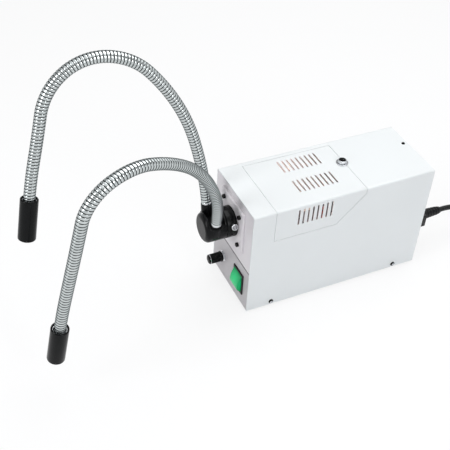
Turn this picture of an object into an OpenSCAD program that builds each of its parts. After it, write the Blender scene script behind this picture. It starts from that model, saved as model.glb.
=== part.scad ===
// Fibre optic illuminator: a mains lamp box with a forked light guide on two goosenecks.
// Frame: X across the box, Y from the front panel to the rear, Z up from the bench.
// The origin is on the bench, under the middle of the front panel's outer face.

/* [Housing] */
// Width over the cover's sides
body_w = 100; // [96:1:120]
// Length from the front panel to the rear panel
body_l = 245; // [240:1:280]
// Height of the cover, without the feet
body_h = 150; // [146:1:170]
// Thickness of the cover's sheet steel
cover_t = 1.2; // [0.8:0.1:1.6]
// Thickness of the front and rear panels
panel_t = 1.5; // [1:0.1:2]
// Outer radius of the cover's top bends
bend_r = 2.5; // [2:0.1:4]
// Gap between the panels and the cover
panel_gap = 0.2; // [0.1:0.05:0.4]
// Height of the seam between the control panel and the lamp panel
seam_z = 61.5; // [60:0.5:66]
// Width of that seam
seam_gap = 0.8; // [0.3:0.1:1]

/* [Feet and screws] */
// Standing height of a rubber foot
foot_h = 4; // [3:0.5:8]
// Diameter of a foot at the bench
foot_d = 14; // [10:1:18]
// Distance of a foot's centre from the cover's sides and ends
foot_inset = 16; // [14:1:24]
// Height of the side screws above the cover's lower edge
side_screw_z = 5; // [4.5:0.5:8]
// Distances of the side screws from the front and from the rear
side_screw_inset = [33.5, 32.5];
// Thread diameter of the housing's screws
screw_d = 3; // [2.5:0.5:3]
// Place of the cover's top screw: across, and from the rear
top_screw_at = [-11.6, 6.1];
// Head diameter of the side screws
screw_head_d = 6; // [5:0.5:8]
// Radial clearance of a screw in its clearance hole
screw_clear = 0.2; // [0.1:0.05:0.4]

/* [Lamp hatch] */
// Front and rear edges of the hatch, from the front panel
hatch_y = [28.8, 148.2];
// Height of the hatch, down from the cover's top
hatch_h = 43.5; // [38:0.5:48]
// Size of the cut corner at its lower rear
hatch_corner = 36; // [20:1:40]
// Distance of its far edge from the middle of the top
hatch_far_x = 42; // [38:1:44]
// Gap all round the hatch
hatch_gap = 0.4; // [0.3:0.05:0.6]
// Width of the ledge that the hatch rests on
ledge_w = 5; // [3:0.5:6]
// Number and pitch of the side vents
side_vents = 8; // [4:1:9]
// Number of vents in each top group
top_vents = 9; // [4:1:10]
// Pitch of the vents
vent_pitch = 6.2; // [5:0.1:7]
// Width of a vent
vent_w = 2.2; // [1.5:0.1:3]
// Length of a vent
vent_len = 22; // [16:1:22]
// Place of the first side vent and of the first top vent
vent_y = [57.6, 71.9];
// Place of the thumbscrew on the top
thumb_at = [-4.8, 145.5];
// Diameter of the thumbscrew's head
thumb_d = 11; // [9:0.5:12]

/* [Light port] */
// Depth of the light port's axis below the cover's top
port_drop = 41; // [39:0.5:43]
// Side of the square socket plate
plate_w = 60; // [54:1:64]
// Thickness of the socket plate
plate_t = 3; // [2:0.5:4]
// Spacing of the plate's four cap screws
plate_screw_pitch = 42; // [40:1:46]
// Diameter of the black socket and guide block
socket_d = 38; // [36:0.5:40]
// Length of the socket in front of its plate
socket_len = 13; // [12:0.5:16]
// Diameter of the guide's input ferrule
ferrule_d = 18; // [14:0.5:20]
// Running clearance of the ferrule in the socket, on the radius
ferrule_fit = 0.05; // [0.02:0.01:0.1]
// Length of the ferrule inside the lamp compartment
ferrule_reach = 12; // [8:1:14]
// Head diameter of the knurled clamp screw
clamp_d = 8; // [7:0.5:10]
// Angle of the clamp screw above the horizontal
clamp_tilt = 20; // [0:5:30]

/* [Guide block and arms] */
// Length of the guide block
block_len = 26; // [25:0.5:32]
// Height of the block's flat above the port's axis
saddle_h = 10; // [8:0.5:11]
// Distance of each arm's root from the middle
arm_x = 12; // [11:0.1:12.5]
// Outer diameter of the wound gooseneck
neck_d = 13; // [12:0.1:14]
// Depth of the groove between two windings
neck_groove = 0.7; // [0.4:0.05:1]
// Bore of the gooseneck
neck_bore = 7.2; // [7:0.1:8]
// Diameter of the fibre bundle in its sheath
bundle_d = 6; // [5:0.1:6.2]
// Number of ribs on each gooseneck's 450 mm
neck_ribs = 90; // [45:1:90]
// Length of the stretch that each bend angle below holds for
stretch = 50; // [48:1:54]
// Gap between two gooseneck segments, where they flex
flex_gap = 3; // [3:0.1:4]
// Bends of the near gooseneck, one for each stretch
near_bend_angles = [27, 13, 18, 15, 40, 62, -1, 0, 4];
// Bends of the far gooseneck
far_bend_angles = [8, 6, 14, 13, 39, 46, 40, -2, 5];
// Direction that the near and far necks face, about the vertical
arm_turn_angle = [18, -3];
// Sideways lean of the near and far necks
arm_lean_angle = [7, -9];
// First direction of the near and far necks, towards the front
arm_start_angle = [-5, 0];
// Rise of the near and far collars above the saddle
collar_rise = [2, 14];
// Diameter of a collar
collar_d = 14.4; // [14.2:0.1:15]
// Diameter of a nozzle
nozzle_d = 20; // [18:0.5:22]
// Length of a nozzle
nozzle_len = 50; // [44:1:56]
// Depth of the recess that the neck enters
nozzle_recess = 5; // [4:0.5:6]

/* [Controls] */
// Place of the brightness knob: across, and above the cover's lower edge
knob_at = [-21, 32];
// Diameter and length of the knob
knob_d = 12.6; // [11:0.1:15]
// Length of the knob
knob_len = 18; // [14:0.5:22]
// Number of flutes round the knob
knob_flutes = 18; // [12:1:24]
// Place of the power switch
switch_at = [24, 32];
// Width of the switch's bezel
switch_w = 25.5; // [23:0.5:27]
// Height of the switch's bezel
switch_h = 31; // [28:0.5:34]
// Travel of the rocker, in degrees
rocker_travel_angle = 12; // [8:1:16]
// Clearance round the rocker
rocker_gap = 0.4; // [0.3:0.05:0.5]
// Rise of the rocker's rounded face over its ends
rocker_bulge = 3.8; // [2:0.2:5]

/* [Lamp compartment] */
// Height of the deck above the cover's lower edge
deck_z = 60; // [58:0.5:61]
// Distance of the lamp's rim from the front
lamp_y = 50; // [46:1:56]
// Diameter of the lamp's rim
lamp_d = 50; // [48:0.5:50]
// Depth of the reflector
lamp_depth = 38; // [34:1:40]
// Distance of the heat filter from the front
filter_y = 30; // [26:1:34]
// Diameter of the heat filter
filter_d = 40; // [36:1:46]
// Thickness of the heat filter
filter_t = 3; // [2:0.5:4]

/* [Rear and mains] */
// Depth of the fan's frame
fan_depth = 25; // [20:1:30]
// Side of the fan's frame
fan_w = 80; // [70:1:82]
// Distance of the fan's frame from the cover's top
fan_clear = 8; // [6:0.5:10]
// Place of the mains inlet: across, and down from the fan's frame
inlet_at = [15, 20];
// Place of the fuse holder: across, and down from the fan's frame
fuse_at = [-26, 20];
// Length of the fuse
fuse_len = 20; // [18:0.5:22]
// Diameter of the fuse
fuse_d = 5; // [4.5:0.1:5.2]
// Diameter of the mains cord
cord_d = 7; // [6:0.1:7]

/* [Hidden] */
$fn = 48;

touch = 0.3;                                  // running gap between pieces on different bodies
eps = 0.01;
floor_z = foot_h + cover_t;                   // upper face of the chassis floor
top_z = foot_h + body_h;                      // outer face of the cover's top
inner_x = body_w / 2 - cover_t;               // inner face of the cover's sides
axis_z = top_z - port_drop;                   // height of the light port's axis
panel_x = inner_x - panel_gap;                // half width of the panels
rear_y = body_l - panel_t;                    // inner face of the rear panel
chassis_x = inner_x - touch / 3;              // outer face of the chassis flanges
side_screw_y = [side_screw_inset[0], body_l - side_screw_inset[1]];
flange_h = 14;                                // height of the chassis flanges
fan_low = top_z - fan_clear - fan_w;          // lower edge of the fan's frame
fan_z = fan_low + fan_w / 2;                  // its centre
inlet_z = fan_low - inlet_at[1];              // middle of the mains inlet
fuse_z = fan_low - fuse_at[1];                // axis of the fuse holder

// Colours as the photograph shows them
white_paint = [0.93, 0.94, 0.95];
grey_panel = [0.84, 0.83, 0.85];
zinc = [0.75, 0.76, 0.78];
black_satin = [0.07, 0.07, 0.08];
chrome = [0.82, 0.83, 0.85];
green_lens = [0.12, 0.75, 0.42];
rubber = [0.09, 0.09, 0.09];

// Turns a shape drawn along Z so that it points along +Y or -Y
module along_y() { rotate([-90, 0, 0]) children(); }
module to_front() { rotate([90, 0, 0]) children(); }
module mirrored_x() { children(); mirror([1, 0, 0]) children(); }
module four_corners(dx, dz) { for (x = [-dx, dx], z = [-dz, dz]) translate([x, 0, z]) children(); }

// ---- Housing ----

foot_places = [for (x = [-1, 1], y = [foot_inset, body_l - foot_inset]) [x * (body_w / 2 - foot_inset), y]];
foot_pin_r = 2;
board_at = [0, body_l - 49];                  // centre of the control board
board_size = [64, 56];
standoff_h = 8;

module chassis() {
    color(zinc) difference() {
        union() {
            translate([-chassis_x, panel_t + touch, foot_h])
                cube([2 * chassis_x, body_l - 2 * panel_t - 2 * touch, cover_t]);
            mirrored_x() translate([chassis_x - cover_t, 12, foot_h])
                cube([cover_t, body_l - 24, flange_h]);
        }
        for (p = foot_places) translate([p[0], p[1], foot_h - 1]) cylinder(r = foot_pin_r, h = cover_t + 2);
        for (y = side_screw_y, x = [-1, 1]) translate([x * (chassis_x - cover_t / 2), y, foot_h + side_screw_z])
            rotate([0, 90, 0]) cylinder(d = screw_d, h = 2 * cover_t, center = true);
        for (i = [0 : 6]) translate([-20, 84 + 9 * i, foot_h - 1]) cube([40, 3, cover_t + 2]);
    }
}

module feet() {
    color(rubber) for (p = foot_places) translate([p[0], p[1], 0]) difference() {
        union() {
            cylinder(d1 = foot_d, d2 = foot_d - 1.5, h = foot_h);
            cylinder(r = foot_pin_r, h = floor_z);
            translate([0, 0, floor_z]) cylinder(r1 = foot_pin_r + 0.8, r2 = foot_pin_r - 0.4, h = 1.6);
        }
        translate([0, 0, -1]) cylinder(d = foot_d * 0.45, h = 2);
    }
}

// A plate with rounded top corners that follow the cover's bends
module panel_outline(z0, z1, rounded) {
    r = bend_r - cover_t - panel_gap / 2;
    if (rounded) {
        translate([-panel_x, z0]) square([2 * panel_x, z1 - z0 - r]);
        translate([-panel_x + r, z0]) square([2 * (panel_x - r), z1 - z0]);
        for (x = [-1, 1]) translate([x * (panel_x - r), z1 - r]) circle(r = r);
    } else translate([-panel_x, z0]) square([2 * panel_x, z1 - z0]);
}

module panel_plate(z0, z1, rounded) {
    translate([0, panel_t, 0]) to_front() linear_extrude(panel_t) panel_outline(z0, z1, rounded);
}

pot_thread_r = 3.5;
switch_cut = [switch_w - 2.4, switch_h - 2.4];

module control_panel() {
    color(grey_panel) difference() {
        union() {
            panel_plate(foot_h + touch, foot_h + seam_z - seam_gap / 2, false);
            translate([-panel_x + 4, panel_t - eps, floor_z]) cube([2 * panel_x - 8, 8, 1.2]);
        }
        translate([knob_at[0], panel_t + 1, foot_h + knob_at[1]])
            to_front() cylinder(r = pot_thread_r + screw_clear, h = panel_t + 2);
        translate([switch_at[0] - switch_cut[0] / 2, -1, foot_h + switch_at[1] - switch_cut[1] / 2])
            cube([switch_cut[0], panel_t + 2, switch_cut[1]]);
    }
}

panel_top = top_z - cover_t - panel_gap;

module lamp_panel() {
    color(grey_panel) difference() {
        union() {
            panel_plate(foot_h + seam_z + seam_gap / 2, panel_top, true);
            translate([-panel_x + 6, panel_t - eps, panel_top - 1.2]) cube([2 * panel_x - 12, 10, 1.2]);
        }
        translate([0, panel_t + 1, axis_z]) to_front() cylinder(d = ferrule_d + 4, h = panel_t + 2);
        translate([0, panel_t + 1, axis_z]) four_corners(plate_screw_pitch / 2, plate_screw_pitch / 2)
            to_front() cylinder(d = screw_d, h = panel_t + 2);
    }
}

inlet_cut = [28, 20.5];
fan_pitch = fan_w - 8.5;
fuse_hole_r = 6.4;

module rear_panel() {
    color(white_paint) difference() {
        union() {
            translate([0, rear_y, 0]) panel_plate(foot_h + touch, panel_top, true);
            translate([-panel_x + 4, rear_y - 8, floor_z]) cube([2 * panel_x - 8, 8 + eps, 1.2]);
            translate([-panel_x + 6, rear_y - 10, panel_top - 1.2]) cube([2 * panel_x - 12, 10 + eps, 1.2]);
        }
        translate([0, body_l + 1, fan_z]) to_front() {
            cylinder(d = fan_w - 4, h = panel_t + 2);
        }
        translate([0, body_l + 1, fan_z]) four_corners(fan_pitch / 2, fan_pitch / 2)
            to_front() cylinder(d = 4 + 2 * screw_clear, h = panel_t + 2);
        translate([inlet_at[0] - inlet_cut[0] / 2, rear_y - 1, inlet_z - inlet_cut[1] / 2])
            cube([inlet_cut[0], panel_t + 2, inlet_cut[1]]);
        translate([fuse_at[0], body_l + 1, fuse_z])
            to_front() cylinder(r = fuse_hole_r, h = panel_t + 2);
        top_screw_place() cylinder(d = screw_d, h = 8 * cover_t, center = true);
    }
}

// The cover's inverted U, seen from the front, between two offsets from its outer face
module cover_section(inset) {
    w = body_w / 2 - inset;
    r = bend_r - inset;
    h = body_h - inset;
    translate([-w, 0]) square([2 * w, h - r]);
    translate([-w + r, 0]) square([2 * (w - r), h]);
    for (x = [-1, 1]) translate([x * (w - r), h - r]) circle(r = r);
}

module cover_shell(t0, t1) {
    difference() {
        cover_section(t0);
        translate([0, -1]) intersection() {
            cover_section(t1);
            translate([-body_w, 0]) square([2 * body_w, body_h]);
        }
        translate([-body_w / 2 + t1, -1]) square([body_w - 2 * t1, 10]);
    }
}

// Sweeps the cover's section from the front to the rear
module cover_sheet(t0, t1) {
    translate([0, body_l, foot_h]) to_front() linear_extrude(body_l) difference() {
        cover_section(t0);
        translate([0, 0]) cover_section(t1);
        translate([-body_w / 2 + t1, -1]) square([body_w - 2 * t1, body_h / 2]);
    }
}

// The space that the hatch takes out of the cover, grown all round by g
module hatch_space(g) {
    y0 = hatch_y[0] - g;
    y1 = hatch_y[1] + g;
    z0 = top_z - hatch_h - g;
    // side wall and top, with the cut corner
    translate([-hatch_far_x - g, 0, 0]) rotate([90, 0, 90]) linear_extrude(hatch_far_x + body_w) polygon([
        [y0, z0], [y1 - hatch_corner, z0], [y1, z0 + hatch_corner], [y1, top_z + 5], [y0, top_z + 5]
    ]);
}

module hatch_limits(g) {
    intersection() {
        hatch_space(g);
        union() {
            translate([-body_w, 0, top_z - bend_r - eps]) cube([2 * body_w, body_l, 20]);
            translate([0, 0, foot_h]) cube([body_w, body_l, body_h]);
        }
    }
}

module cover() {
    color(white_paint) {
        difference() {
            cover_sheet(0, cover_t);
            hatch_limits(hatch_gap);
            for (y = side_screw_y, x = [-1, 1]) translate([x * body_w / 2, y, foot_h + side_screw_z])
                rotate([0, 90, 0]) cylinder(r = screw_d / 2 + screw_clear, h = 4 * cover_t, center = true);
            top_screw_place() cylinder(r = screw_d / 2 + screw_clear, h = 4 * cover_t, center = true);
        }
        // ledge welded inside the opening, below the hatch, with the thumbscrew's threaded bush
        difference() {
            union() {
                intersection() {
                    cover_sheet(cover_t, 2 * cover_t);
                    difference() {
                        hatch_limits(ledge_w);
                        hatch_limits(-ledge_w);
                    }
                }
                translate([thumb_at[0], thumb_at[1], top_z - cover_t - bush_len])
                    cylinder(r = 3.5, h = bush_len);
            }
            translate([thumb_at[0], thumb_at[1], top_z - 20])
                cylinder(r = screw_d / 2 + thread_fit, h = 30);
        }
    }
}

bush_len = 5;                                 // length of the bush under the ledge
thread_fit = 0.05;                            // running clearance of a turning screw, on the radius

module side_vent_row() {
    for (i = [0 : side_vents - 1]) translate([body_w / 2 - 5, vent_y[0] + i * vent_pitch, top_z - 27.5])
        cube([10, vent_w, vent_len], center = false);
}

module top_vent_rows() {
    for (i = [0 : top_vents - 1], x = [4.5, -35])
        translate([x, vent_y[1] + i * vent_pitch - vent_w / 2, top_z - 5]) cube([vent_len, vent_w, 10]);
}

module lamp_hatch() {
    color(white_paint) difference() {
        intersection() {
            cover_sheet(0, cover_t - touch);
            hatch_limits(0);
        }
        side_vent_row();
        top_vent_rows();
        translate([thumb_at[0], thumb_at[1], top_z - 5]) cylinder(r = screw_d / 2 + 0.35, h = 10);
    }
}

module hatch_screw() {
    color(black_satin) translate([thumb_at[0], thumb_at[1], top_z + touch]) difference() {
        union() {
            cylinder(d = thumb_d + 4, h = 0.8);
            translate([0, 0, 0.8]) cylinder(d = thumb_d - 1.5, h = 0.6);
            translate([0, 0, 1.4]) cylinder(d = thumb_d, h = 2.4);
            translate([0, 0, 3.8]) cylinder(d1 = thumb_d, d2 = thumb_d - 2, h = 0.7);
            translate([0, 0, -cover_t - bush_len]) cylinder(d = screw_d, h = cover_t + bush_len + 1);
        }
        for (a = [0 : 12 : 348]) rotate([0, 0, a]) translate([thumb_d / 2 + 0.15, 0, 1.4])
            cylinder(r = 0.35, h = 6, $fn = 16);
        translate([-thumb_d, -0.6, 3.6]) cube([2 * thumb_d, 1.2, 2]);
    }
}

module top_screw_place() { translate([top_screw_at[0], body_l - top_screw_at[1], top_z]) children(); }

module cover_screws() {
    color(chrome) for (y = side_screw_y, x = [-1, 1])
        translate([x * body_w / 2, y, foot_h + side_screw_z]) rotate([0, x * 90, 0]) difference() {
            union() {
                rotate_extrude() polygon(concat([[0, 0], [screw_head_d / 2, 0]],
                    [for (a = [0 : 15 : 90]) [cos(a) * screw_head_d / 2 * 0.98, 0.6 + 1.5 * sin(a)]]));
                translate([0, 0, -4]) cylinder(d = screw_d - 0.1, h = 4.2);
            }
            for (a = [0, 90]) rotate([0, 0, a]) translate([-1.6, -0.4, 1]) cube([3.2, 0.8, 3]);
        }
    color(black_satin) top_screw_place() difference() {
        union() {
            cylinder(d1 = 4.6, d2 = 3.6, h = 1);
            translate([0, 0, -4]) cylinder(d = screw_d - 0.1, h = 4.2);
        }
        translate([0, 0, 0.4]) cylinder(d = 2, h = 3, $fn = 6);
    }
}

// ---- Light port and guide ----

module socket_plate() {
    half = plate_w / 2;
    edge = 1.2;
    color(grey_panel) translate([0, 0, axis_z]) difference() {
        to_front() {
            translate([-half, -half, 0]) cube([plate_w, plate_w, plate_t - edge]);
            translate([0, 0, plate_t - edge - eps]) linear_extrude(edge + eps, scale = 1 - 2 * edge / plate_w)
                square(plate_w, center = true);
        }
        translate([0, 1, 0]) to_front() cylinder(d = ferrule_d + 4, h = plate_t + 2);
        translate([0, 1, 0]) four_corners(plate_screw_pitch / 2, plate_screw_pitch / 2)
            to_front() cylinder(r = screw_d / 2 + screw_clear, h = plate_t + 2);
    }
}

cap_head_d = 5.5;

module plate_screws() {
    color(black_satin) translate([0, -plate_t, axis_z])
        four_corners(plate_screw_pitch / 2, plate_screw_pitch / 2) to_front() difference() {
            union() {
                cylinder(d = cap_head_d, h = 2.6);
                translate([0, 0, 2.6]) cylinder(d1 = cap_head_d, d2 = cap_head_d - 0.8, h = 0.4);
                translate([0, 0, -plate_t - panel_t - 2])
                    cylinder(d = screw_d - 0.1, h = plate_t + panel_t + 2);
            }
            translate([0, 0, 1.2]) cylinder(d = 2.9, h = 3, $fn = 6);
        }
}

socket_front = -plate_t - socket_len;         // front face of the socket
clamp_y = -plate_t - 5.5;                     // place of the clamp screw along the socket
clamp_thread_r = 2;

module clamp_place() { translate([0, clamp_y, axis_z]) rotate([0, 90 - clamp_tilt, 0]) children(); }

module guide_socket() {
    color(black_satin) difference() {
        translate([0, -plate_t, axis_z]) to_front() {
            cylinder(d = socket_d, h = socket_len - 1);
            translate([0, 0, socket_len - 1]) cylinder(d1 = socket_d, d2 = socket_d - 2, h = 1);
        }
        translate([0, 1, axis_z]) to_front()
            cylinder(r = ferrule_d / 2 + ferrule_fit, h = plate_t + socket_len + 2);
        clamp_place() cylinder(r = clamp_thread_r + thread_fit, h = socket_d);
        // seat for the screw's head
        clamp_place() translate([0, 0, socket_d / 2 - 0.8]) cylinder(d = clamp_d + 1, h = 5);
    }
}

module clamp_screw() {
    head_z = socket_d / 2 - 0.8 + touch;
    color(chrome) clamp_place() difference() {
        union() {
            translate([0, 0, ferrule_d / 2 + touch]) cylinder(r = clamp_thread_r, h = head_z - ferrule_d / 2);
            translate([0, 0, head_z]) cylinder(d = clamp_d, h = 4);
            translate([0, 0, head_z + 4]) cylinder(d1 = clamp_d, d2 = clamp_d - 1, h = 0.5);
        }
        for (a = [0 : 15 : 345]) rotate([0, 0, a]) translate([clamp_d / 2 + 0.15, 0, head_z - 1])
            cylinder(r = 0.35, h = 6, $fn = 16);
        translate([0, 0, head_z + 4.1]) cylinder(d = clamp_d - 2, h = 2);
        translate([-clamp_d / 2 + 1, -0.6, head_z + 3.4]) cube([clamp_d - 2, 1.2, 2]);
    }
}

block_back = socket_front - touch;            // rear face of the guide block
block_front = block_back - block_len;
root_y = block_back - block_len / 2;          // the arms' roots along the block
guide_bore_r = 6;
ferrule_seat = 6;                             // depth of the ferrule's seat in the block

module guide_ferrule() {
    color(chrome) translate([0, ferrule_reach, axis_z]) to_front() difference() {
        union() {
            cylinder(d1 = ferrule_d - 1, d2 = ferrule_d, h = 0.5);
            translate([0, 0, 0.5])
                cylinder(d = ferrule_d, h = ferrule_reach - socket_front + ferrule_seat - 0.5);
        }
        translate([0, 0, -1]) cylinder(r = guide_bore_r, h = ferrule_reach - socket_front + ferrule_seat + 2);
    }
}

module guide_bundle() {
    color([0.75, 0.72, 0.6]) translate([0, ferrule_reach - 0.5, axis_z])
        to_front() cylinder(r = guide_bore_r - 0.05, h = ferrule_reach - socket_front + 5);
}

// ---- Goosenecks ----
// A neck lies in one plane. It faces arm_turn_angle about the vertical, leans sideways by arm_lean_angle,
// and turns by one entry of its bends over each stretch.

near = 0;
far = 1;
arm_side = [1, -1];
stretches = len(near_bend_angles);
neck_len = stretches * stretch;
arm_bends = [near_bend_angles, far_bend_angles];
segment_ends = [0, 3, 6, stretches];          // stretches at which a neck flexes

function arm_root(a) = [arm_side[a] * arm_x, root_y, axis_z + saddle_h];
function arm_ahead(a) = [sin(arm_turn_angle[a]), -cos(arm_turn_angle[a]), 0];
function arm_across(a) = [cos(arm_turn_angle[a]), sin(arm_turn_angle[a]), 0];
function arm_up(a) = arm_across(a) * sin(arm_lean_angle[a]) + [0, 0, cos(arm_lean_angle[a])];
function arm_normal(a) = cross(arm_up(a), arm_ahead(a));
function dir_at(a, t) = arm_ahead(a) * sin(t) + arm_up(a) * cos(t);
// Chord of an arc of the given length and bend
function chord(l, b) = abs(b) < 0.001 ? l : l * sin(b / 2) / (b / 2 * PI / 180);
function slope_at(a, k) = k == 0 ? arm_start_angle[a] : slope_at(a, k - 1) + arm_bends[a][k - 1];
function mid_slope(a, k) = slope_at(a, k) + arm_bends[a][k] / 2;
function knot(a, k) = k == 0 ? arm_root(a)
    : knot(a, k - 1) + chord(stretch, arm_bends[a][k - 1]) * dir_at(a, mid_slope(a, k - 1));
knots = [for (a = [near, far]) [for (k = [0 : stretches]) knot(a, k)]];
slopes = [for (a = [near, far]) [for (k = [0 : stretches]) slope_at(a, k)]];
function span_of(s) = min(stretches - 1, max(0, floor(s / stretch)));
function bend_to(a, s) = let (k = span_of(s))
    s > neck_len ? 0 : arm_bends[a][k] * (s - k * stretch) / stretch;
function slope(a, s) = s >= neck_len ? slopes[a][stretches] : slopes[a][span_of(s)] + bend_to(a, s);
function point(a, s) = s >= neck_len
    ? knots[a][stretches] + (s - neck_len) * dir_at(a, slopes[a][stretches])
    : let (k = span_of(s), r = s - k * stretch, b = bend_to(a, s))
        knots[a][k] + chord(r, b) * dir_at(a, slopes[a][k] + b / 2);
function neck_ring(a, s, r, n) = let (d = dir_at(a, slope(a, s)), u = arm_normal(a), v = cross(d, u),
    c = point(a, s))
    [for (i = [0 : n - 1]) c + r * (u * cos(360 * i / n) + v * sin(360 * i / n))];

function flat(list) = [for (row = list, p = row) p];
// Triangles round a tube of m rings of n points that start at point i0
function skin(m, n, i0, out) = [for (k = [0 : m - 2], j = [0 : n - 1], h = [0, 1])
    let (a = i0 + k * n + j, b = i0 + k * n + (j + 1) % n, c = a + n, d = b + n,
         t = h == 0 ? [a, b, c] : [b, d, c])
    out ? t : [t[0], t[2], t[1]]];
function disc(n, i0, up) = [for (j = [1 : n - 2]) up ? [i0, i0 + j, i0 + j + 1] : [i0, i0 + j + 1, i0 + j]];
function annulus(n, i0, i1, up) = [for (j = [0 : n - 1], h = [0, 1])
    let (a = i0 + j, b = i0 + (j + 1) % n, c = i1 + j, d = i1 + (j + 1) % n, t = h == 0 ? [a, b, d] : [a, d, c])
    up ? t : [t[0], t[2], t[1]]];

// A closed solid through rings of points
module swept(rings) {
    n = len(rings[0]);
    m = len(rings);
    polyhedron(flat(rings), concat(skin(m, n, 0, true), disc(n, 0, false), disc(n, (m - 1) * n, true)));
}

// The same with a bore, which has rings of its own
module swept_hollow(outer, bore) {
    n = len(outer[0]);
    m = len(outer);
    q = len(bore);
    polyhedron(concat(flat(outer), flat(bore)), concat(
        skin(m, n, 0, true), skin(q, n, m * n, false),
        annulus(n, 0, m * n, false), annulus(n, (m - 1) * n, (m + q - 1) * n, true)
    ));
}

neck_sides = 8;
bore_step = stretch / 4;
function start_of(a, k) = k == 1 ? collar_rise[a] + touch : segment_ends[k - 1] * stretch + flex_gap / 2;
function end_of(k) = segment_ends[k] * stretch - (k == 3 ? 0 : flex_gap / 2);

// One wound segment: a groove and a crest for each rib, over a plain bore
module conduit(a, k) {
    s0 = start_of(a, k);
    s1 = end_of(k);
    ribs = round(neck_ribs * (s1 - s0) / neck_len);
    pitch = (s1 - s0) / ribs;
    bores = ceil((s1 - s0) / bore_step);
    groove_r = neck_d / 2 - neck_groove;
    color(chrome) swept_hollow(
        concat([for (i = [0 : ribs - 1], h = [0, 1])
            neck_ring(a, s0 + (i + h / 2) * pitch, h == 0 ? groove_r : neck_d / 2, neck_sides)],
            [neck_ring(a, s1, groove_r, neck_sides)]),
        [for (i = [0 : bores]) neck_ring(a, s0 + i * (s1 - s0) / bores, neck_bore / 2, neck_sides)]
    );
}

// The fibre bundle in one segment. It ends in a ball at the flexing point, which the next one faces.
module bundle(a, k) {
    r = bundle_d / 2;
    s0 = k == 1 ? touch + collar_rise[a] - 8 : segment_ends[k - 1] * stretch + r + touch;
    s1 = k == 3 ? neck_len + nozzle_len - nozzle_recess - 1 : segment_ends[k] * stretch;
    n = ceil((s1 - s0) / bore_step);
    color([0.2, 0.2, 0.22]) swept(concat(
        [for (i = [0 : n]) neck_ring(a, s0 + i * (s1 - s0) / n, r, neck_sides)],
        k == 3 ? [] : [for (b = [30, 55, 78]) neck_ring(a, s1 + r * sin(b), r * cos(b), neck_sides)]
    ));
}

// Puts a shape drawn along Z on a neck at length s
module on_neck(a, s) {
    d = dir_at(a, slope(a, s));
    u = arm_normal(a);
    v = cross(d, u);
    c = point(a, s);
    multmatrix([
        [u[0], v[0], d[0], c[0]],
        [u[1], v[1], d[1], c[1]],
        [u[2], v[2], d[2], c[2]]
    ]) children();
}

collar_depth = 9;

module arm_collars() {
    color(black_satin) for (a = [near, far]) on_neck(a, 0) difference() {
        translate([0, 0, -collar_depth]) cylinder(d = collar_d, h = collar_depth + collar_rise[a]);
        translate([0, 0, -collar_depth - 1]) cylinder(d = neck_bore, h = collar_depth + collar_rise[a] + 2);
    }
}

module guide_block() {
    r = socket_d / 2 - 0.3;
    round_r = 6;
    color(black_satin) difference() {
        union() {
            translate([0, block_back, axis_z]) to_front() rotate_extrude($fn = 64) union() {
                square([r, block_len - round_r]);
                square([r - round_r, block_len]);
                translate([r - round_r, block_len - round_r]) circle(r = round_r);
            }
            // bosses round the two collars
            for (a = [near, far]) on_neck(a, 0) translate([0, 0, -14]) cylinder(d = collar_d + 2.4, h = 16);
        }
        // flat saddle that the necks stand on
        translate([-socket_d, block_front + 5, axis_z + saddle_h])
            cube([2 * socket_d, block_len - 7, socket_d]);
        for (a = [near, far]) on_neck(a, 0) translate([0, 0, -collar_depth - 0.1])
            cylinder(d = collar_d, h = collar_depth + socket_d);
        // seat of the input ferrule, and the space where the bundle divides
        translate([0, block_back + 1, axis_z])
            to_front() cylinder(r = ferrule_d / 2 + ferrule_fit, h = 1 + ferrule_seat);
        translate([0, block_back + 1, axis_z]) to_front() cylinder(r = guide_bore_r, h = block_len - 6);
    }
}

module nozzle(a) {
    color(black_satin) on_neck(a, neck_len) rotate_extrude($fn = 64) polygon([
        [neck_bore / 2, 0.1], [neck_d / 2 + 0.3, 0.1], [neck_d / 2 + 0.3, 3 - nozzle_recess],
        [nozzle_d / 2 - 1.8, 3 - nozzle_recess], [nozzle_d / 2 - 1.8, -nozzle_recess],
        [nozzle_d / 2 - 1, -nozzle_recess], [nozzle_d / 2, -nozzle_recess + 1],
        [nozzle_d / 2, nozzle_len - nozzle_recess - 1], [nozzle_d / 2 - 1, nozzle_len - nozzle_recess],
        [bundle_d / 2 + 3, nozzle_len - nozzle_recess], [bundle_d / 2 + 0.1, nozzle_len - nozzle_recess - 2.5],
        [bundle_d / 2 + 0.1, 2], [neck_bore / 2, 2]
    ]);
}

// ---- Controls ----

module knob_place() { translate([knob_at[0], 0, foot_h + knob_at[1]]) to_front() children(); }

nut_h = 2;
shaft_r = 3;

module brightness_knob() {
    back = nut_h + 1;
    color(black_satin) knob_place() difference() {
        union() {
            translate([0, 0, back]) cylinder(d = knob_d + 1.4, h = 1.5);
            translate([0, 0, back + 1.5]) cylinder(d = knob_d, h = knob_len - 1.5 - 2);
            translate([0, 0, back + knob_len - 2]) cylinder(d1 = knob_d, d2 = knob_d - 2.4, h = 2);
        }
        for (i = [0 : knob_flutes - 1]) rotate([0, 0, 360 * i / knob_flutes])
            translate([knob_d / 2 + 0.25, 0, back + 2.2]) cylinder(r = 0.75, h = knob_len, $fn = 16);
        translate([0, 0, back - 1]) cylinder(r = shaft_r, h = knob_len - 4);
        translate([-0.5, 1, back + knob_len - 0.6]) cube([1, knob_d, 2]);
    }
}

module dimmer_shaft() {
    color(zinc) knob_place() translate([0, 0, -panel_t - 4])
        cylinder(r = shaft_r, h = panel_t + 4 + nut_h + 1 + 10);
}

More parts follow.
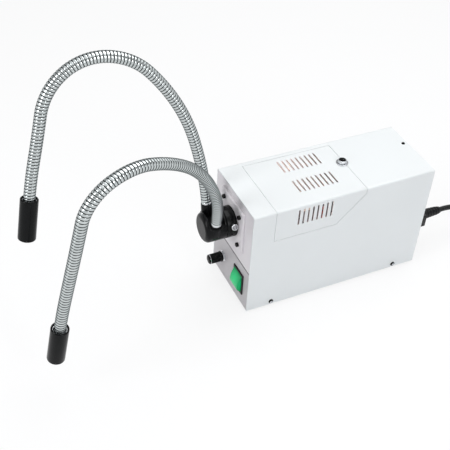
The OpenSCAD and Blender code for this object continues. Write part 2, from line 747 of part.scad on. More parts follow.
module dimmer_body() {
    color([0.55, 0.5, 0.42]) knob_place() difference() {
        union() {
            translate([0, 0, -panel_t - 10]) cylinder(r = 8.5, h = 10);
            translate([0, 0, -panel_t]) cylinder(r = pot_thread_r + 0.15, h = panel_t);
            translate([0, 0, 0]) cylinder(r = pot_thread_r, h = nut_h + 0.4);
            translate([-8.2, -13, -panel_t - 7]) cube([16.4, 6, 1.6]);
            for (x = [-5, 0, 5]) translate([x - 0.8, -18, -panel_t - 6.5]) cube([1.6, 6, 0.6]);
        }
        translate([0, 0, -panel_t - 4.3]) cylinder(r = shaft_r + 0.05, h = 20);
    }
}

module dimmer_nut() {
    color(chrome) knob_place() difference() {
        union() {
            cylinder(r = 7, h = 0.6);
            translate([0, 0, 0.6]) cylinder(r = 5.8, h = nut_h - 0.6, $fn = 6);
        }
        translate([0, 0, -1]) cylinder(r = pot_thread_r, h = 10);
    }
}

bezel_t = 2;
rocker_size = [switch_w - 5, switch_h - 4.5];
rocker_pivot_y = 4;
switch_depth = 24;

module switch_place() { translate([switch_at[0], 0, foot_h + switch_at[1]]) children(); }

module switch_body() {
    pocket = [rocker_size[0] + 2 * rocker_gap, rocker_size[1] + 2 * rocker_gap];
    color(black_satin) switch_place() difference() {
        union() {
            translate([0, 0, 0]) to_front() {
                translate([-switch_w / 2, -switch_h / 2, 0]) cube([switch_w, switch_h, bezel_t - 0.8]);
                translate([0, 0, bezel_t - 0.8 - eps]) linear_extrude(0.8 + eps, scale = 0.93)
                    square([switch_w, switch_h], center = true);
            }
            translate([-switch_cut[0] / 2 + 0.1, -eps, -switch_cut[1] / 2 + 0.1])
                cube([switch_cut[0] - 0.2, switch_depth, switch_cut[1] - 0.2]);
            for (x = [-6, 6], z = [-9, 0, 9]) translate([x - 0.4, switch_depth - 1, z - 2.4])
                cube([0.8, 9, 4.8]);
        }
        translate([-pocket[0] / 2, -bezel_t - 1, -pocket[1] / 2])
            cube([pocket[0], bezel_t + 1 + 11, pocket[1]]);
    }
}

module rocker() {
    w = rocker_size[0];
    h = rocker_size[1] / 2;
    color(green_lens) switch_place() translate([-w / 2, 0, 0]) rotate([90, 0, 90]) linear_extrude(w)
        rotate(rocker_travel_angle / 2) polygon(concat(
            [for (i = [-6 : 6]) [-0.8 - rocker_bulge * cos(15 * i), h * i / 6]],
            [[2.6, h * 0.98], [7, 3.2], [7, -3.2], [2.6, -h * 0.98]]
        ));
}

// ---- Lamp compartment ----

deck_top = foot_h + deck_z;
deck_t = 1.5;
deck_end = body_l - 93;                       // rear wall of the deck, in front of the board

module lamp_deck() {
    x = panel_x - 1.6;
    color(zinc) difference() {
        translate([-x, 0, 0]) rotate([90, 0, 90]) linear_extrude(2 * x) polygon([
            [panel_t + 0.1, deck_top - deck_t - 8], [panel_t + 0.1 + deck_t, deck_top - deck_t - 8],
            [panel_t + 0.1 + deck_t, deck_top - deck_t], [deck_end - deck_t, deck_top - deck_t],
            [deck_end - deck_t, floor_z], [deck_end + 10, floor_z], [deck_end + 10, floor_z + deck_t],
            [deck_end, floor_z + deck_t], [deck_end, deck_top], [panel_t + 0.1, deck_top]
        ]);
        for (i = [0 : 5]) translate([-26, 60 + 9 * i, deck_top - 5]) cube([16, 3, 10]);
        translate([lead_hole[0], lead_hole[1], deck_top - 5]) cylinder(r = 7, h = 10);
        translate([0, deck_end - 5, foot_h + 34]) along_y() cylinder(r = 14, h = 10);
    }
}

module lamp_bracket() {
    t = 1.5;
    x = 34;
    top = axis_z + 30;
    filter_face = filter_y + filter_t;
    color(zinc) difference() {
        translate([-x, 0, 0]) rotate([90, 0, 90]) linear_extrude(2 * x) polygon([
            [filter_face, deck_top], [lamp_y, deck_top], [lamp_y, top], [lamp_y - t, top],
            [lamp_y - t, deck_top + t], [filter_face + t, deck_top + t], [filter_face + t, top],
                [filter_face, top]
        ]);
        translate([0, lamp_y + 1, axis_z]) to_front() cylinder(d = lamp_d - 5, h = 5);
        translate([0, filter_face + t + 1, axis_z]) to_front() cylinder(d = filter_d - 5, h = 5);
    }
    // lips that hold the filter and the lamp's rim
    color(zinc) difference() {
        union() {
            translate([0, filter_face, axis_z]) to_front() cylinder(d = filter_d + 3, h = filter_t + 0.8);
            translate([0, lamp_y, axis_z]) along_y() cylinder(d = lamp_d + 3, h = 3.4);
        }
        translate([0, filter_face + eps, axis_z]) to_front() cylinder(d = filter_d + 0.1, h = filter_t + 0.05);
        translate([0, filter_face + 1, axis_z]) to_front() cylinder(d = filter_d - 3, h = 20);
        translate([0, lamp_y - eps, axis_z]) along_y() cylinder(d = lamp_d + 0.4, h = 3 - 0.35);
        translate([0, lamp_y - 1, axis_z]) along_y() cylinder(d = lamp_d - 1.4, h = 20);
    }
}

module lamp_reflector() {
    r0 = lamp_d / 2;
    wall = 1.6;
    steps = [for (i = [0 : 8]) i / 8];
    bowl = 0.66 * lamp_depth;
    neck_r = 8;
    function bowl_r(q) = neck_r + (r0 - 2.6 - neck_r) * sqrt(1 - q);
    color([0.8, 0.84, 0.9]) translate([0, lamp_y, axis_z]) along_y() rotate_extrude($fn = 64) polygon(concat(
        [[r0 - 3.2, 0], [r0, 0], [r0, 2.5], [r0 - 1, 2.5]],
        [for (q = steps) [bowl_r(q) + wall, 2.5 + q * bowl]],
        [[neck_r, lamp_depth], [4.6, lamp_depth], [4.6, bowl]],
        [for (i = [8 : -1 : 0]) [max(4.6, bowl_r(i / 8) - 0.6), 0.6 + i / 8 * bowl]]
    ));
}

module lamp_capsule() {
    color([0.9, 0.92, 0.9]) translate([0, lamp_y, axis_z]) along_y() {
        translate([0, 0, 12]) rotate_extrude($fn = 32) polygon(concat(
            [for (a = [0 : 15 : 90]) [4.2 * sin(a), 4.2 - 4.2 * cos(a)]],
                [[4.2, lamp_depth - 14], [0, lamp_depth - 14]]
        ));
        for (x = [-2.65, 2.65]) translate([x, 0, lamp_depth - 3]) cylinder(r = 0.75, h = 11, $fn = 24);
    }
}

module lamp_socket() {
    color([0.92, 0.9, 0.85]) translate([0, lamp_y + lamp_depth + 1, axis_z]) difference() {
        translate([-11, 0, -7]) cube([22, 13, 14]);
        for (x = [-2.65, 2.65]) translate([x, -1, 0]) along_y() cylinder(r = 0.8, h = 9, $fn = 24);
        for (x = [-8, 8]) translate([x, -1, 0]) along_y() cylinder(r = 1.6, h = 20, $fn = 24);
        for (x = [-3.5, 3.5]) translate([x, 10, 0]) along_y() cylinder(r = lead_r + 0.1, h = 20, $fn = 24);
    }
}

module heat_filter() {
    color([0.7, 0.9, 0.9, 0.5]) translate([0, filter_y + filter_t, axis_z]) to_front()
        cylinder(d = filter_d, h = filter_t);
}

// Two insulated leads from the lamp's socket through the deck to the transformer
lead_r = 1.2;
lead_y = lamp_y + lamp_depth + 11.5;          // where they leave the socket
lead_hole = [14.5, lead_y + 18.5];            // middle of their hole in the deck
lead_points = [
    [3.5, lead_y, axis_z], [3.5, lead_y + 6.5, axis_z], [6, lead_y + 13.5, axis_z - 3],
    [12, lead_hole[1], axis_z - 11], [17, lead_hole[1] + 1, axis_z - 23], [18, lead_hole[1] + 1, deck_top + 12],
    [18, lead_hole[1], deck_top], [17, lead_hole[1] - 3, deck_top - 5.1]
];

// Direction of a path at one of its points
function path_dir(p, i) = let (d = p[min(i + 1, len(p) - 1)] - p[max(i - 1, 0)]) d / norm(d);
// The sweep keeps one side direction, so that its faces don't twist
function side_ring(c, dir, side, r, n) = let (v0 = cross(dir, side), v = v0 / norm(v0), u = cross(v, dir))
    [for (j = [0 : n - 1]) c + r * (u * cos(360 * j / n) + v * sin(360 * j / n))];

module tube(points, r, n, side) {
    swept([for (i = [0 : len(points) - 1]) side_ring(points[i], path_dir(points, i), side, r, n)]);
}

module lamp_leads() {
    color([0.8, 0.15, 0.12]) for (x = [0, -7]) translate([x, 0, 0]) tube(lead_points, lead_r, 8, [1, 0, 0]);
}

// ---- Power supply ----

core_at = [0, 92];
core_size = [76, 60, 30];
core_z = floor_z + 12;
window = [core_size[0] / 4 - 6.2, core_size[1] - 22];  // a window of the core
core_bolt = [core_size[0] / 2 - 4, core_size[1] / 2 - 4];
coil_t = window[0] - 3.8;                     // thickness of the winding

module transformer_core() {
    color([0.35, 0.33, 0.32]) translate([core_at[0], core_at[1], core_z]) difference() {
        translate([-core_size[0] / 2, -core_size[1] / 2, 0]) cube(core_size);
        for (x = [-1, 1]) translate([x * core_size[0] / 4 - window[0] / 2, -window[1] / 2, -1])
            cube([window[0], window[1], core_size[2] + 2]);
        for (x = [-1, 1], y = [-1, 1]) translate([x * core_bolt[0], y * core_bolt[1], -1])
            cylinder(r = 1.7, h = core_size[2] + 2);
    }
}

module transformer_coil() {
    half_x = core_size[0] / 4 - window[0] / 2 + 0.2;
    long = window[1] / 2 - 0.4;
    color([0.75, 0.45, 0.15]) translate([core_at[0], core_at[1], core_z + core_size[2] / 2]) difference() {
        hull() for (x = [-1, 1], z = [-1, 1])
            translate([x * (half_x + coil_t - 4), long, z * (core_size[2] / 2 + coil_t - 4)])
                to_front() cylinder(r = 4, h = 2 * long, $fn = 32);
        cube([2 * half_x, 60, core_size[2] + 0.4], center = true);
    }
}

module transformer_brackets() {
    color(zinc) translate([core_at[0], core_at[1], 0]) for (y = [-1, 1]) difference() {
        union() {
            translate([-core_size[0] / 2, y * core_bolt[1] - 6, core_z - 1.5]) cube([core_size[0], 12, 1.5]);
            for (x = [-1, 1]) {
                translate([x * (core_size[0] / 2 - 0.75) - 0.75, y * core_bolt[1] - 6, floor_z])
                    cube([1.5, 12, 12 - 0.5]);
                translate([x * (core_size[0] / 2 - 5) - 5, y * core_bolt[1] - 6, floor_z]) cube([10, 12, 1.5]);
            }
        }
        for (x = [-1, 1]) translate([x * core_bolt[0], y * core_bolt[1], core_z - 5]) cylinder(r = 1.7, h = 10);
    }
}

module control_board() {
    z = floor_z + standoff_h;
    color([0.1, 0.4, 0.22]) translate([board_at[0], board_at[1], z]) {
        difference() {
            translate([-board_size[0] / 2, -board_size[1] / 2, 0]) cube([board_size[0], board_size[1], 1.6]);
            for (x = [-1, 1], y = [-1, 1])
                translate([x * (board_size[0] / 2 - 4), y * (board_size[1] / 2 - 4), -1])
                cylinder(r = 1.6, h = 4);
        }
        translate([-24, -20, 1.6]) cube([26, 10, 20]);
        translate([10, -18, 1.6]) cylinder(r = 6, h = 18);
        translate([22, 2, 1.6]) cube([8, 18, 12]);
        translate([-20, 4, 1.6]) cube([18, 14, 10]);
        for (i = [0 : 3]) translate([2 + i * 3.4, 8, 1.6]) cylinder(r = 1.2, h = 6, $fn = 24);
    }
    color(zinc) for (x = [-1, 1], y = [-1, 1])
        translate([board_at[0] + x * (board_size[0] / 2 - 4), board_at[1] + y * (board_size[1] / 2 - 4),
            floor_z])
            difference() {
                cylinder(r = 3, h = standoff_h);
                translate([0, 0, -1]) cylinder(r = 1.5, h = standoff_h + 2);
            }
}

// ---- Fan ----

fan_back = rear_y;                            // the frame bears on the rear panel's inner face
fan_r = fan_w / 2 - 2.5;
hub_r = 17;
guard_rings = 4;
guard_pitch = 8;
blades = 7;
fan_pin_r = 2;

module fan_place() { translate([0, fan_back, fan_z]) to_front() children(); }

module fan_frame() {
    color(black_satin) fan_place() difference() {
        union() {
            difference() {
                translate([-fan_w / 2, -fan_w / 2, 0]) cube([fan_w, fan_w, fan_depth]);
                translate([0, 0, -1]) cylinder(r = fan_r, h = fan_depth + 2);
                for (x = [-1, 1], y = [-1, 1]) translate([x * fan_pitch / 2, y * fan_pitch / 2, 0]) {
                    translate([0, 0, -1]) cylinder(r = 2.15, h = fan_depth + 2);
                }
            }
            // motor plate and its struts, on the side away from the panel
            translate([0, 0, fan_depth - 3]) cylinder(r = hub_r + 1, h = 3);
            for (a = [0 : 90 : 270]) rotate([0, 0, a + 20]) translate([hub_r - 2, -2, fan_depth - 3])
                cube([fan_r - hub_r + 3, 4, 3]);
            translate([0, 0, fan_depth - 3 - 10]) cylinder(r = fan_pin_r, h = 10.5);
        }
    }
}

module fan_rotor() {
    depth = fan_depth - 3 - touch - 2.5;
    color([0.16, 0.16, 0.17]) fan_place() translate([0, 0, 2.5]) difference() {
        union() {
            cylinder(r = hub_r, h = depth);
            for (i = [0 : blades - 1]) rotate([0, 0, 360 * i / blades]) intersection() {
                translate([hub_r - 1, -9, 1.5]) rotate([38, 0, 0]) translate([0, 0, 0])
                    cube([fan_r - hub_r, 24, 1.6]);
                cylinder(r = fan_r - 0.8, h = depth - 1);
            }
        }
        translate([0, 0, depth - 13]) cylinder(r = fan_pin_r + 0.06, h = 20);
    }
}

module fan_guard() {
    wire = 1;
    color(chrome) translate([0, body_l + wire, fan_z]) rotate([-90, 0, 0]) {
        for (i = [0 : guard_rings - 1]) rotate_extrude($fn = 64)
            translate([fan_w / 2 - 7 - i * guard_pitch, 1.8]) circle(r = wire, $fn = 24);
        for (a = [45 : 90 : 315]) rotate([0, 0, a]) {
            translate([8, 0, 0]) rotate([0, 90, 0])
                cylinder(r = wire, h = fan_pitch / 2 * sqrt(2) - 11, $fn = 24);
            translate([fan_pitch / 2 * sqrt(2), 0, 0]) rotate_extrude($fn = 32) translate([3.6, 0])
                circle(r = wire, $fn = 24);
        }
    }
}

module fan_screws() {
    color(chrome) translate([0, body_l + 2, fan_z])
        four_corners(fan_pitch / 2, fan_pitch / 2) along_y()
        difference() {
            union() {
                cylinder(d1 = 9, d2 = 6.4, h = 2.4);
                translate([0, 0, -2 - panel_t - 12]) cylinder(r = 1.95, h = 2 + panel_t + 12);
            }
            for (a = [0, 90]) rotate([0, 0, a]) translate([-2, -0.5, 1.2]) cube([4, 1, 3]);
        }
}

// ---- Mains inlet, fuse and cord ----

inlet_flange = [33, 25, 2];
connector_size = [27, 19];
connector_len = 27;
relief_len = 30;
pin_at = [[-7, -2], [0, 2.5], [7, -2]];

module inlet_place() { translate([inlet_at[0], body_l, inlet_z]) children(); }

module mains_inlet() {
    color(black_satin) inlet_place() difference() {
        union() {
            translate([-inlet_flange[0] / 2, 0, -inlet_flange[1] / 2])
                cube([inlet_flange[0], inlet_flange[2], inlet_flange[1]]);
            translate([-13.7, -20, -10]) cube([27.4, 20 + eps, 20]);
            for (p = pin_at) translate([p[0] - 3, -28, p[1] - 0.4]) cube([6, 9, 0.8]);
        }
        translate([-12.4, -15, -8.4]) cube([24.8, 20, 16.8]);
    }
    color(chrome) inlet_place() for (p = pin_at)
        translate([p[0] - 1, -15 - 1, p[1] - 2]) cube([2, 14, 4]);
}

plug_in = 14;                                 // depth of the connector's nose in the inlet

module cord_connector() {
    w = connector_size[0];
    h = connector_size[1];
    color(rubber) inlet_place() {
        difference() {
            union() {
                translate([-11.9, -plug_in, -7.9]) cube([23.8, plug_in + 3, 15.8]);
                translate([-w / 2, inlet_flange[2] + touch / 3, -h / 2])
                    cube([w, connector_len - inlet_flange[2], h]);
            }
            for (p = pin_at) translate([p[0] - 1.3, -plug_in - 1, p[1] - 2.3]) cube([2.6, 15, 4.6]);
        }
        // tapered shoulders and strain relief
        translate([0, connector_len + touch / 3, 0]) along_y() {
            cylinder(d1 = h - 1, d2 = 13, h = 4);
            cylinder(d1 = 12, d2 = cord_d + 2, h = relief_len);
        }
    }
}

cord_r = cord_d / 2;
cord_exit = [inlet_at[0], body_l + connector_len + relief_len + touch / 3, inlet_z];
// Route of the cord from its strain relief to the coil, chosen by hand
lead_route = [
    [15, 302.1, 46], [15, 312, 46], [15.8, 322.5, 45.2], [17.9, 331.6, 42.9], [21.1, 339.7, 39.4],
        [25.1, 346.9, 35],
    [29.7, 353.6, 30.1], [34.5, 360, 24.8], [39.3, 366.4, 19.5], [43.9, 373.1, 14.6], [47.9, 380.3, 10.2],
    [51.1, 388.4, 6.7], [53.2, 397.5, 4.4], [54, 408, 3.6], [54, 416, 3.6]
];
coil_centre = [4, 416];
coil_r = 50;                                  // radius of the outermost turn
coil_pitch = 7.5;                             // distance between turns, and between layers
coil_turns = 5.25;
coil_steps = 24;                              // segments in a turn
coil_tail = 40;                               // straight end that runs to the plug
coil_z = 3.6;                                 // height of the lower layer's middle

function ease(q) = let (c = min(1, max(0, q))) c * c * (3 - 2 * c);
function coil_radius(q) = coil_r - coil_pitch * min(q, coil_turns - q);
function coil_height(q) = coil_z + coil_pitch * ease((q - coil_turns / 2 + 0.25) / 0.5);
// The turns run anticlockwise from the lead, in to the middle and out again on top
function coil_point(q) = [
    coil_centre[0] + coil_radius(q) * cos(360 * q),
    coil_centre[1] + coil_radius(q) * sin(360 * q),
    coil_height(q)
];
coil_count = round(coil_turns * coil_steps);
coil_loops = [for (i = [0 : coil_count]) coil_point(i * coil_turns / coil_count)];
coil_path = concat(coil_loops, [coil_loops[coil_count] - [coil_tail, 0, 0]]);
coil_gaps = [for (i = [0 : coil_count],
    j = [i + coil_steps / 2 : coil_count]) norm(coil_loops[i] - coil_loops[j])];
echo(least_gap_between_coil_turns = min(coil_gaps) - cord_d);

module cord_lead() { color(rubber) tube(lead_route, cord_r, 10, [1, 0, 0]); }

module cord_coil() {
    n = len(coil_path) - 1;
    color(rubber) swept([for (i = [0 : n])
        let (d = i == 0 ? [0, 1, 0] : i >= n - 1 ? [-1, 0, 0] : path_dir(coil_path, i))
        side_ring(coil_path[i], d, cross(d, [0, 0, 1]), cord_r, 6)]);
}

plug_at = coil_path[len(coil_path) - 1];      // where the cord enters the plug
plug_size = [36, 32, 21];

module mains_plug() {
    color(rubber) translate(plug_at) {
        rotate([0, -90, 0]) cylinder(d1 = cord_d + 2, d2 = 13, h = 28);
        translate([-28 - plug_size[0], -plug_size[1] / 2, -plug_at[2]]) hull() {
            for (y = [4, plug_size[1] - 4]) translate([0, y, 0]) {
                translate([4, 0, 0]) cylinder(r = 4, h = plug_size[2], $fn = 32);
                translate([plug_size[0] - 4, (y < 10 ? 4 : -4), 0]) cylinder(r = 4, h = plug_size[2], $fn = 32);
            }
        }
    }
    color(chrome) translate([plug_at[0] - 28 - plug_size[0], plug_at[1], plug_size[2] / 2]) {
        for (y = [-1, 1]) translate([-17, y * 7, 3]) rotate([y * 30, 0, 0])
            translate([0, -0.8, -3.2]) cube([17.5, 1.6, 6.4]);
        translate([-19.5, -0.8, -8.6]) cube([20, 1.6, 6.4]);
    }
}

module fuse_place() { translate([fuse_at[0], body_l, fuse_z]) rotate([-90, 0, 0]) children(); }

fuse_body_r = 6.3;
carrier_r = 4.6;

module fuse_holder() {
    color(black_satin) fuse_place() difference() {
        union() {
            cylinder(r = 8.5, h = 2.5);
            translate([0, 0, -34]) cylinder(r = fuse_body_r, h = 34 + eps);
            translate([0, 0, -panel_t - 4]) cylinder(r = 8.2, h = 4, $fn = 6);
            translate([-0.4, -3, -42]) cube([0.8, 6, 9]);
        }
        translate([0, 0, -31]) cylinder(r = carrier_r + 0.1, h = 60);
    }
}

module fuse_carrier() {
    color([0.12, 0.12, 0.13]) fuse_place() difference() {
        union() {
            translate([0, 0, 2.5 + touch]) cylinder(r = 7.5, h = 5);
            translate([0, 0, 7.5 + touch]) cylinder(r1 = 7.5, r2 = 6.8, h = 1);
            translate([0, 0, -14]) cylinder(r = carrier_r, h = 14 + 3);
        }
        for (a = [0 : 20 : 340]) rotate([0, 0, a]) translate([7.8, 0, 3.4]) cylinder(r = 0.6, h = 8, $fn = 16);
        translate([-5, -0.6, 7.8]) cube([10, 1.2, 3]);
        translate([0, 0, -15]) cylinder(r = fuse_d / 2 + 0.6, h = 8);
    }
}

module fuse() {
    color([0.85, 0.86, 0.88]) fuse_place() translate([0, 0, -7 - fuse_len]) {
        translate([0, 0, 5.5]) cylinder(d = fuse_d - 0.5, h = fuse_len - 11);
        for (z = [0, fuse_len - 5.5]) translate([0, 0, z]) cylinder(d = fuse_d, h = 5.5);
    }
}

chassis();
feet();
control_panel();
lamp_panel();
rear_panel();
cover();
lamp_hatch();
hatch_screw();
cover_screws();
socket_plate();
plate_screws();
guide_socket();
clamp_screw();
guide_ferrule();
guide_bundle();
guide_block();
arm_collars();
conduit(near, 1);  // near_conduit_1
conduit(near, 2);  // near_conduit_2
conduit(near, 3);  // near_conduit_3
conduit(far, 1);  // far_conduit_1
conduit(far, 2);  // far_conduit_2
conduit(far, 3);  // far_conduit_3
bundle(near, 1);  // near_bundle_1
bundle(near, 2);  // near_bundle_2
bundle(near, 3);  // near_bundle_3
bundle(far, 1);  // far_bundle_1
bundle(far, 2);  // far_bundle_2
bundle(far, 3);  // far_bundle_3
nozzle(near);  // near_nozzle
nozzle(far);  // far_nozzle
brightness_knob();
dimmer_shaft();
dimmer_body();
dimmer_nut();
switch_body();
rocker();
lamp_deck();
lamp_bracket();
lamp_reflector();
lamp_capsule();
lamp_socket();
heat_filter();
transformer_core();
transformer_coil();
transformer_brackets();
control_board();
fan_frame();
fan_rotor();
fan_guard();
fan_screws();
mains_inlet();
fuse_holder();
fuse_carrier();
fuse();
lamp_leads();
cord_connector();
cord_lead();
cord_coil();
mains_plug();
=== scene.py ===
"""Fibre optic illuminator: surfaces and finishes for a lamp box with two goosenecks."""
import math

import bmesh
import bpy
import numpy as np
from mathutils import Matrix


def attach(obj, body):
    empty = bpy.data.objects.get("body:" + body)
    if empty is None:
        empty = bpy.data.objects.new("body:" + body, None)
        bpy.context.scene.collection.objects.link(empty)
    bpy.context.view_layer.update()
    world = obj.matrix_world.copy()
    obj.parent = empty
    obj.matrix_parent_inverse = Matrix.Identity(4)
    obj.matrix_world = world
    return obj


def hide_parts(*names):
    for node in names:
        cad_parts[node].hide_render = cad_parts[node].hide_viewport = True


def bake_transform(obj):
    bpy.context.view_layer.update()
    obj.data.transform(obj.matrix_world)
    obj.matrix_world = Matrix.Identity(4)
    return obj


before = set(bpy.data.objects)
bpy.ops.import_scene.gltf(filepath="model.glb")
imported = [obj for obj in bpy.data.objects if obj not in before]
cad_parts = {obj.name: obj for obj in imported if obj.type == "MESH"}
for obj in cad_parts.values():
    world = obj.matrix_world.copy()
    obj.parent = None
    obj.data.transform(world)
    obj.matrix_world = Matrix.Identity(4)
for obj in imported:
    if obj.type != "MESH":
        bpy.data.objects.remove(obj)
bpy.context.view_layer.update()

bl_info = {
    "name": "Fibre optic illuminator",
    "version": (1, 0, 0),
    "blender": (4, 5, 0),
    "location": "View3D > Sidebar > Illuminator",
    "description": "Builds the visible surfaces of a cold-light source with a forked light guide",
    "category": "Object",
}

MM = 0.001
TAU = 2 * math.pi

# Places shared by several pieces, in millimetres, in the frame of the solids: x across, y to the rear, z up
FOOT = 4.0                  # the cover's lower edge, as high as the feet
BODY_L = 245.0              # rear face of the housing, whose front face is y = 0
HALF_W = 50.0               # outer face of either side
TOP = FOOT + 150            # outer face of the top
SIDE_SCREW_Y = (33.5, 212.5)
SIDE_SCREW_Z = FOOT + 5
PORT_Z = FOOT + 109.0       # axis of the light port and of the lamp behind it
SEAM_Z = FOOT + 61.5        # butt joint between the two front panels
CONTROL_Z = FOOT + 32       # middle of the knob and of the rocker
INLET_Z = FOOT + 42         # middle of the mains inlet and of the fuse holder
INLET_X = 15

# Goosenecks, in millimetres
ROOT_Y, ROOT_Z = -29.3, PORT_Z + 10.0
NECK = 450.0                # length from the root to the nozzle
STRETCH = 50.0              # length over which each bend below holds
FLEX = 150.0                # distance between two joints along a neck
FLEX_REACH = 20.0           # distance to either side of a joint at which the necks operator finds the ends of the length over it

# The photograph's camera: azimuth, elevation and roll in degrees, its place in millimetres along its own right,
# up and back from the foot of the housing's front, and its focal length in pixels of a picture 450 wide
CAMERA_ANGLES = (62.996, 41.237, 3.543)
CAMERA_PLACE = (-5.15, 75.345, 1087.785)
FOCAL_PX, PHOTO_PX, SENSOR = 856.84, 450, 36.0

# Each gooseneck: side of its root, direction about the vertical, sideways lean, first direction, rise of its
# collar, and the bend in degrees of each stretch
ARMS = {
    "near": dict(side=12.0, turn=18.0, lean=7.0, start=-5.0, rise=2.0, bends=(27, 13, 18, 15, 40, 62, -1, 0, 4)),
    "far": dict(side=-12.0, turn=-3.0, lean=-9.0, start=0.0, rise=14.0, bends=(8, 6, 14, 13, 39, 46, 40, -2, 5)),
}

# The cord's route from its strain relief to the coil, then the coil itself
LEAD = (
    (15, 302.1, 46), (15, 312, 46), (15.8, 322.5, 45.2), (17.9, 331.6, 42.9), (21.1, 339.7, 39.4), (25.1, 346.9, 35),
    (29.7, 353.6, 30.1), (34.5, 360, 24.8), (39.3, 366.4, 19.5), (43.9, 373.1, 14.6), (47.9, 380.3, 10.2),
    (51.1, 388.4, 6.7), (53.2, 397.5, 4.4), (54, 408, 3.6), (54, 416, 3.6),
)
COIL_CENTRE = (4.0, 416.0)
COIL_R, COIL_PITCH, COIL_TURNS, COIL_Z, COIL_TAIL = 50.0, 7.5, 5.25, 3.6, 40.0
CORD_D = 7.0


# ---- Sizes and colours a user would change ----

class IlluminatorFinish(bpy.types.PropertyGroup):
    """Colours of the illuminator's finishes."""
    paint: bpy.props.FloatVectorProperty(
        name="Cover paint", description="Powder coat of the cover, hatch and rear panel",
        subtype="COLOR_GAMMA", size=3, min=0, max=1, default=(0.925, 0.94, 0.945))
    panel: bpy.props.FloatVectorProperty(
        name="Front paint", description="Paint of the front panels and the socket plate",
        subtype="COLOR_GAMMA", size=3, min=0, max=1, default=(0.90, 0.885, 0.90))
    rocker: bpy.props.FloatVectorProperty(
        name="Rocker", description="Colour of the lit rocker",
        subtype="COLOR_GAMMA", size=3, min=0, max=1, default=(0.03, 0.70, 0.42))
    rocker_glow: bpy.props.FloatProperty(
        name="Rocker glow", description="Light given off by the rocker's lens", default=0.55, min=0, max=3)
    lamp_glow: bpy.props.FloatProperty(
        name="Lamp glow", description="Light given off by the lamp's filament coil", default=60.0, min=0, max=500)


class IlluminatorNecks(bpy.types.PropertyGroup):
    """Sizes of the wound goosenecks."""
    diameter: bpy.props.FloatProperty(
        name="Outer diameter", description="Across the crests of the winding",
        default=13.0 * MM, min=0.012, max=0.0132, unit="LENGTH")
    pitch: bpy.props.FloatProperty(
        name="Winding pitch", description="Distance between two crests of the wound strip",
        default=3.6 * MM, min=0.002, max=0.006, unit="LENGTH")
    groove: bpy.props.FloatProperty(
        name="Groove depth", description="Depth of the groove between two windings",
        default=0.6 * MM, min=0.0002, max=0.0015, unit="LENGTH")
    nozzle: bpy.props.FloatProperty(
        name="Nozzle diameter", description="Diameter of the two light outlets",
        default=20.0 * MM, min=0.018, max=0.0205, unit="LENGTH")


class IlluminatorStage(bpy.types.PropertyGroup):
    """Light on the object: a soft sky and three soft lamps."""
    sky: bpy.props.FloatProperty(
        name="Sky", description="Strength of the soft light from all round", default=0.5, min=0, max=2)
    overhead: bpy.props.FloatProperty(
        name="Overhead lamp", description="Power of the large lamp above", default=9.2, min=0, max=100, unit="POWER")
    key: bpy.props.FloatProperty(
        name="Front lamp", description="Power of the tall lamp ahead of the front panel",
        default=7.9, min=0, max=100, unit="POWER")
    side: bpy.props.FloatProperty(
        name="Side lamp", description="Power of the lamp beside the hatch", default=7.0, min=0, max=100, unit="POWER")


# ---- Materials ----

def linear(colour):
    """sRGB hex text or three sRGB numbers to the linear colour that the shader reads."""
    if isinstance(colour, str):
        colour = [int(colour[i:i + 2], 16) / 255 for i in (1, 3, 5)]
    return tuple(c / 12.92 if c <= 0.04045 else ((c + 0.055) / 1.055) ** 2.4 for c in colour) + (1.0,)


def add(material, kind, values=None, links=None, **fields):
    """Adds a node: fields are its settings, values its constant inputs, links its inputs from (node, output)."""
    node = material.node_tree.nodes.new(kind)
    for key, value in fields.items():
        setattr(node, key, value)
    for key, value in (values or {}).items():
        node.inputs[key].default_value = value
    for key, (source, output) in (links or {}).items():
        material.node_tree.links.new(source.outputs[output], node.inputs[key])
    return node


def shade(colour, factor, lift=0.0):
    """A linear colour times a factor, plus a lift."""
    return tuple(c * factor + lift for c in colour[:3]) + (1,)


def mixed(material, a, b, factor):
    """A colour that goes from a, a constant or a (node, output), to the constant b as the factor grows."""
    linked = isinstance(a[0], bpy.types.Node)
    return add(material, "ShaderNodeMix", {"B": b} if linked else {"A": a, "B": b},
               {"Factor": factor, "A": a} if linked else {"Factor": factor}, data_type="RGBA")


def seen_rays(owner):
    """1 for a ray by which the eye, a mirror or glass sees a surface, and 0 for one that only lights it."""
    rays = add(owner, "ShaderNodeLightPath")
    seen = add(owner, "ShaderNodeMath", links={0: (rays, "Is Camera Ray"), 1: (rays, "Is Glossy Ray")},
               operation="MAXIMUM")
    return add(owner, "ShaderNodeMath", links={0: (seen, "Value"), 1: (rays, "Is Transmission Ray")},
               operation="MAXIMUM")


def start(name):
    """An empty node material and its object coordinates in millimetres."""
    material = bpy.data.materials.new(name)
    material.use_nodes = True
    material.node_tree.nodes.clear()
    where = add(material, "ShaderNodeTexCoord")
    place = add(material, "ShaderNodeMapping", {"Scale": (1000, 1000, 1000)}, {"Vector": (where, "Object")})
    return material, (place, "Vector")


def close(material, values, links=None):
    """Ends a material in one principled shader."""
    shader = add(material, "ShaderNodeBsdfPrincipled", values, links)
    add(material, "ShaderNodeOutputMaterial", links={"Surface": (shader, "BSDF")})
    return material


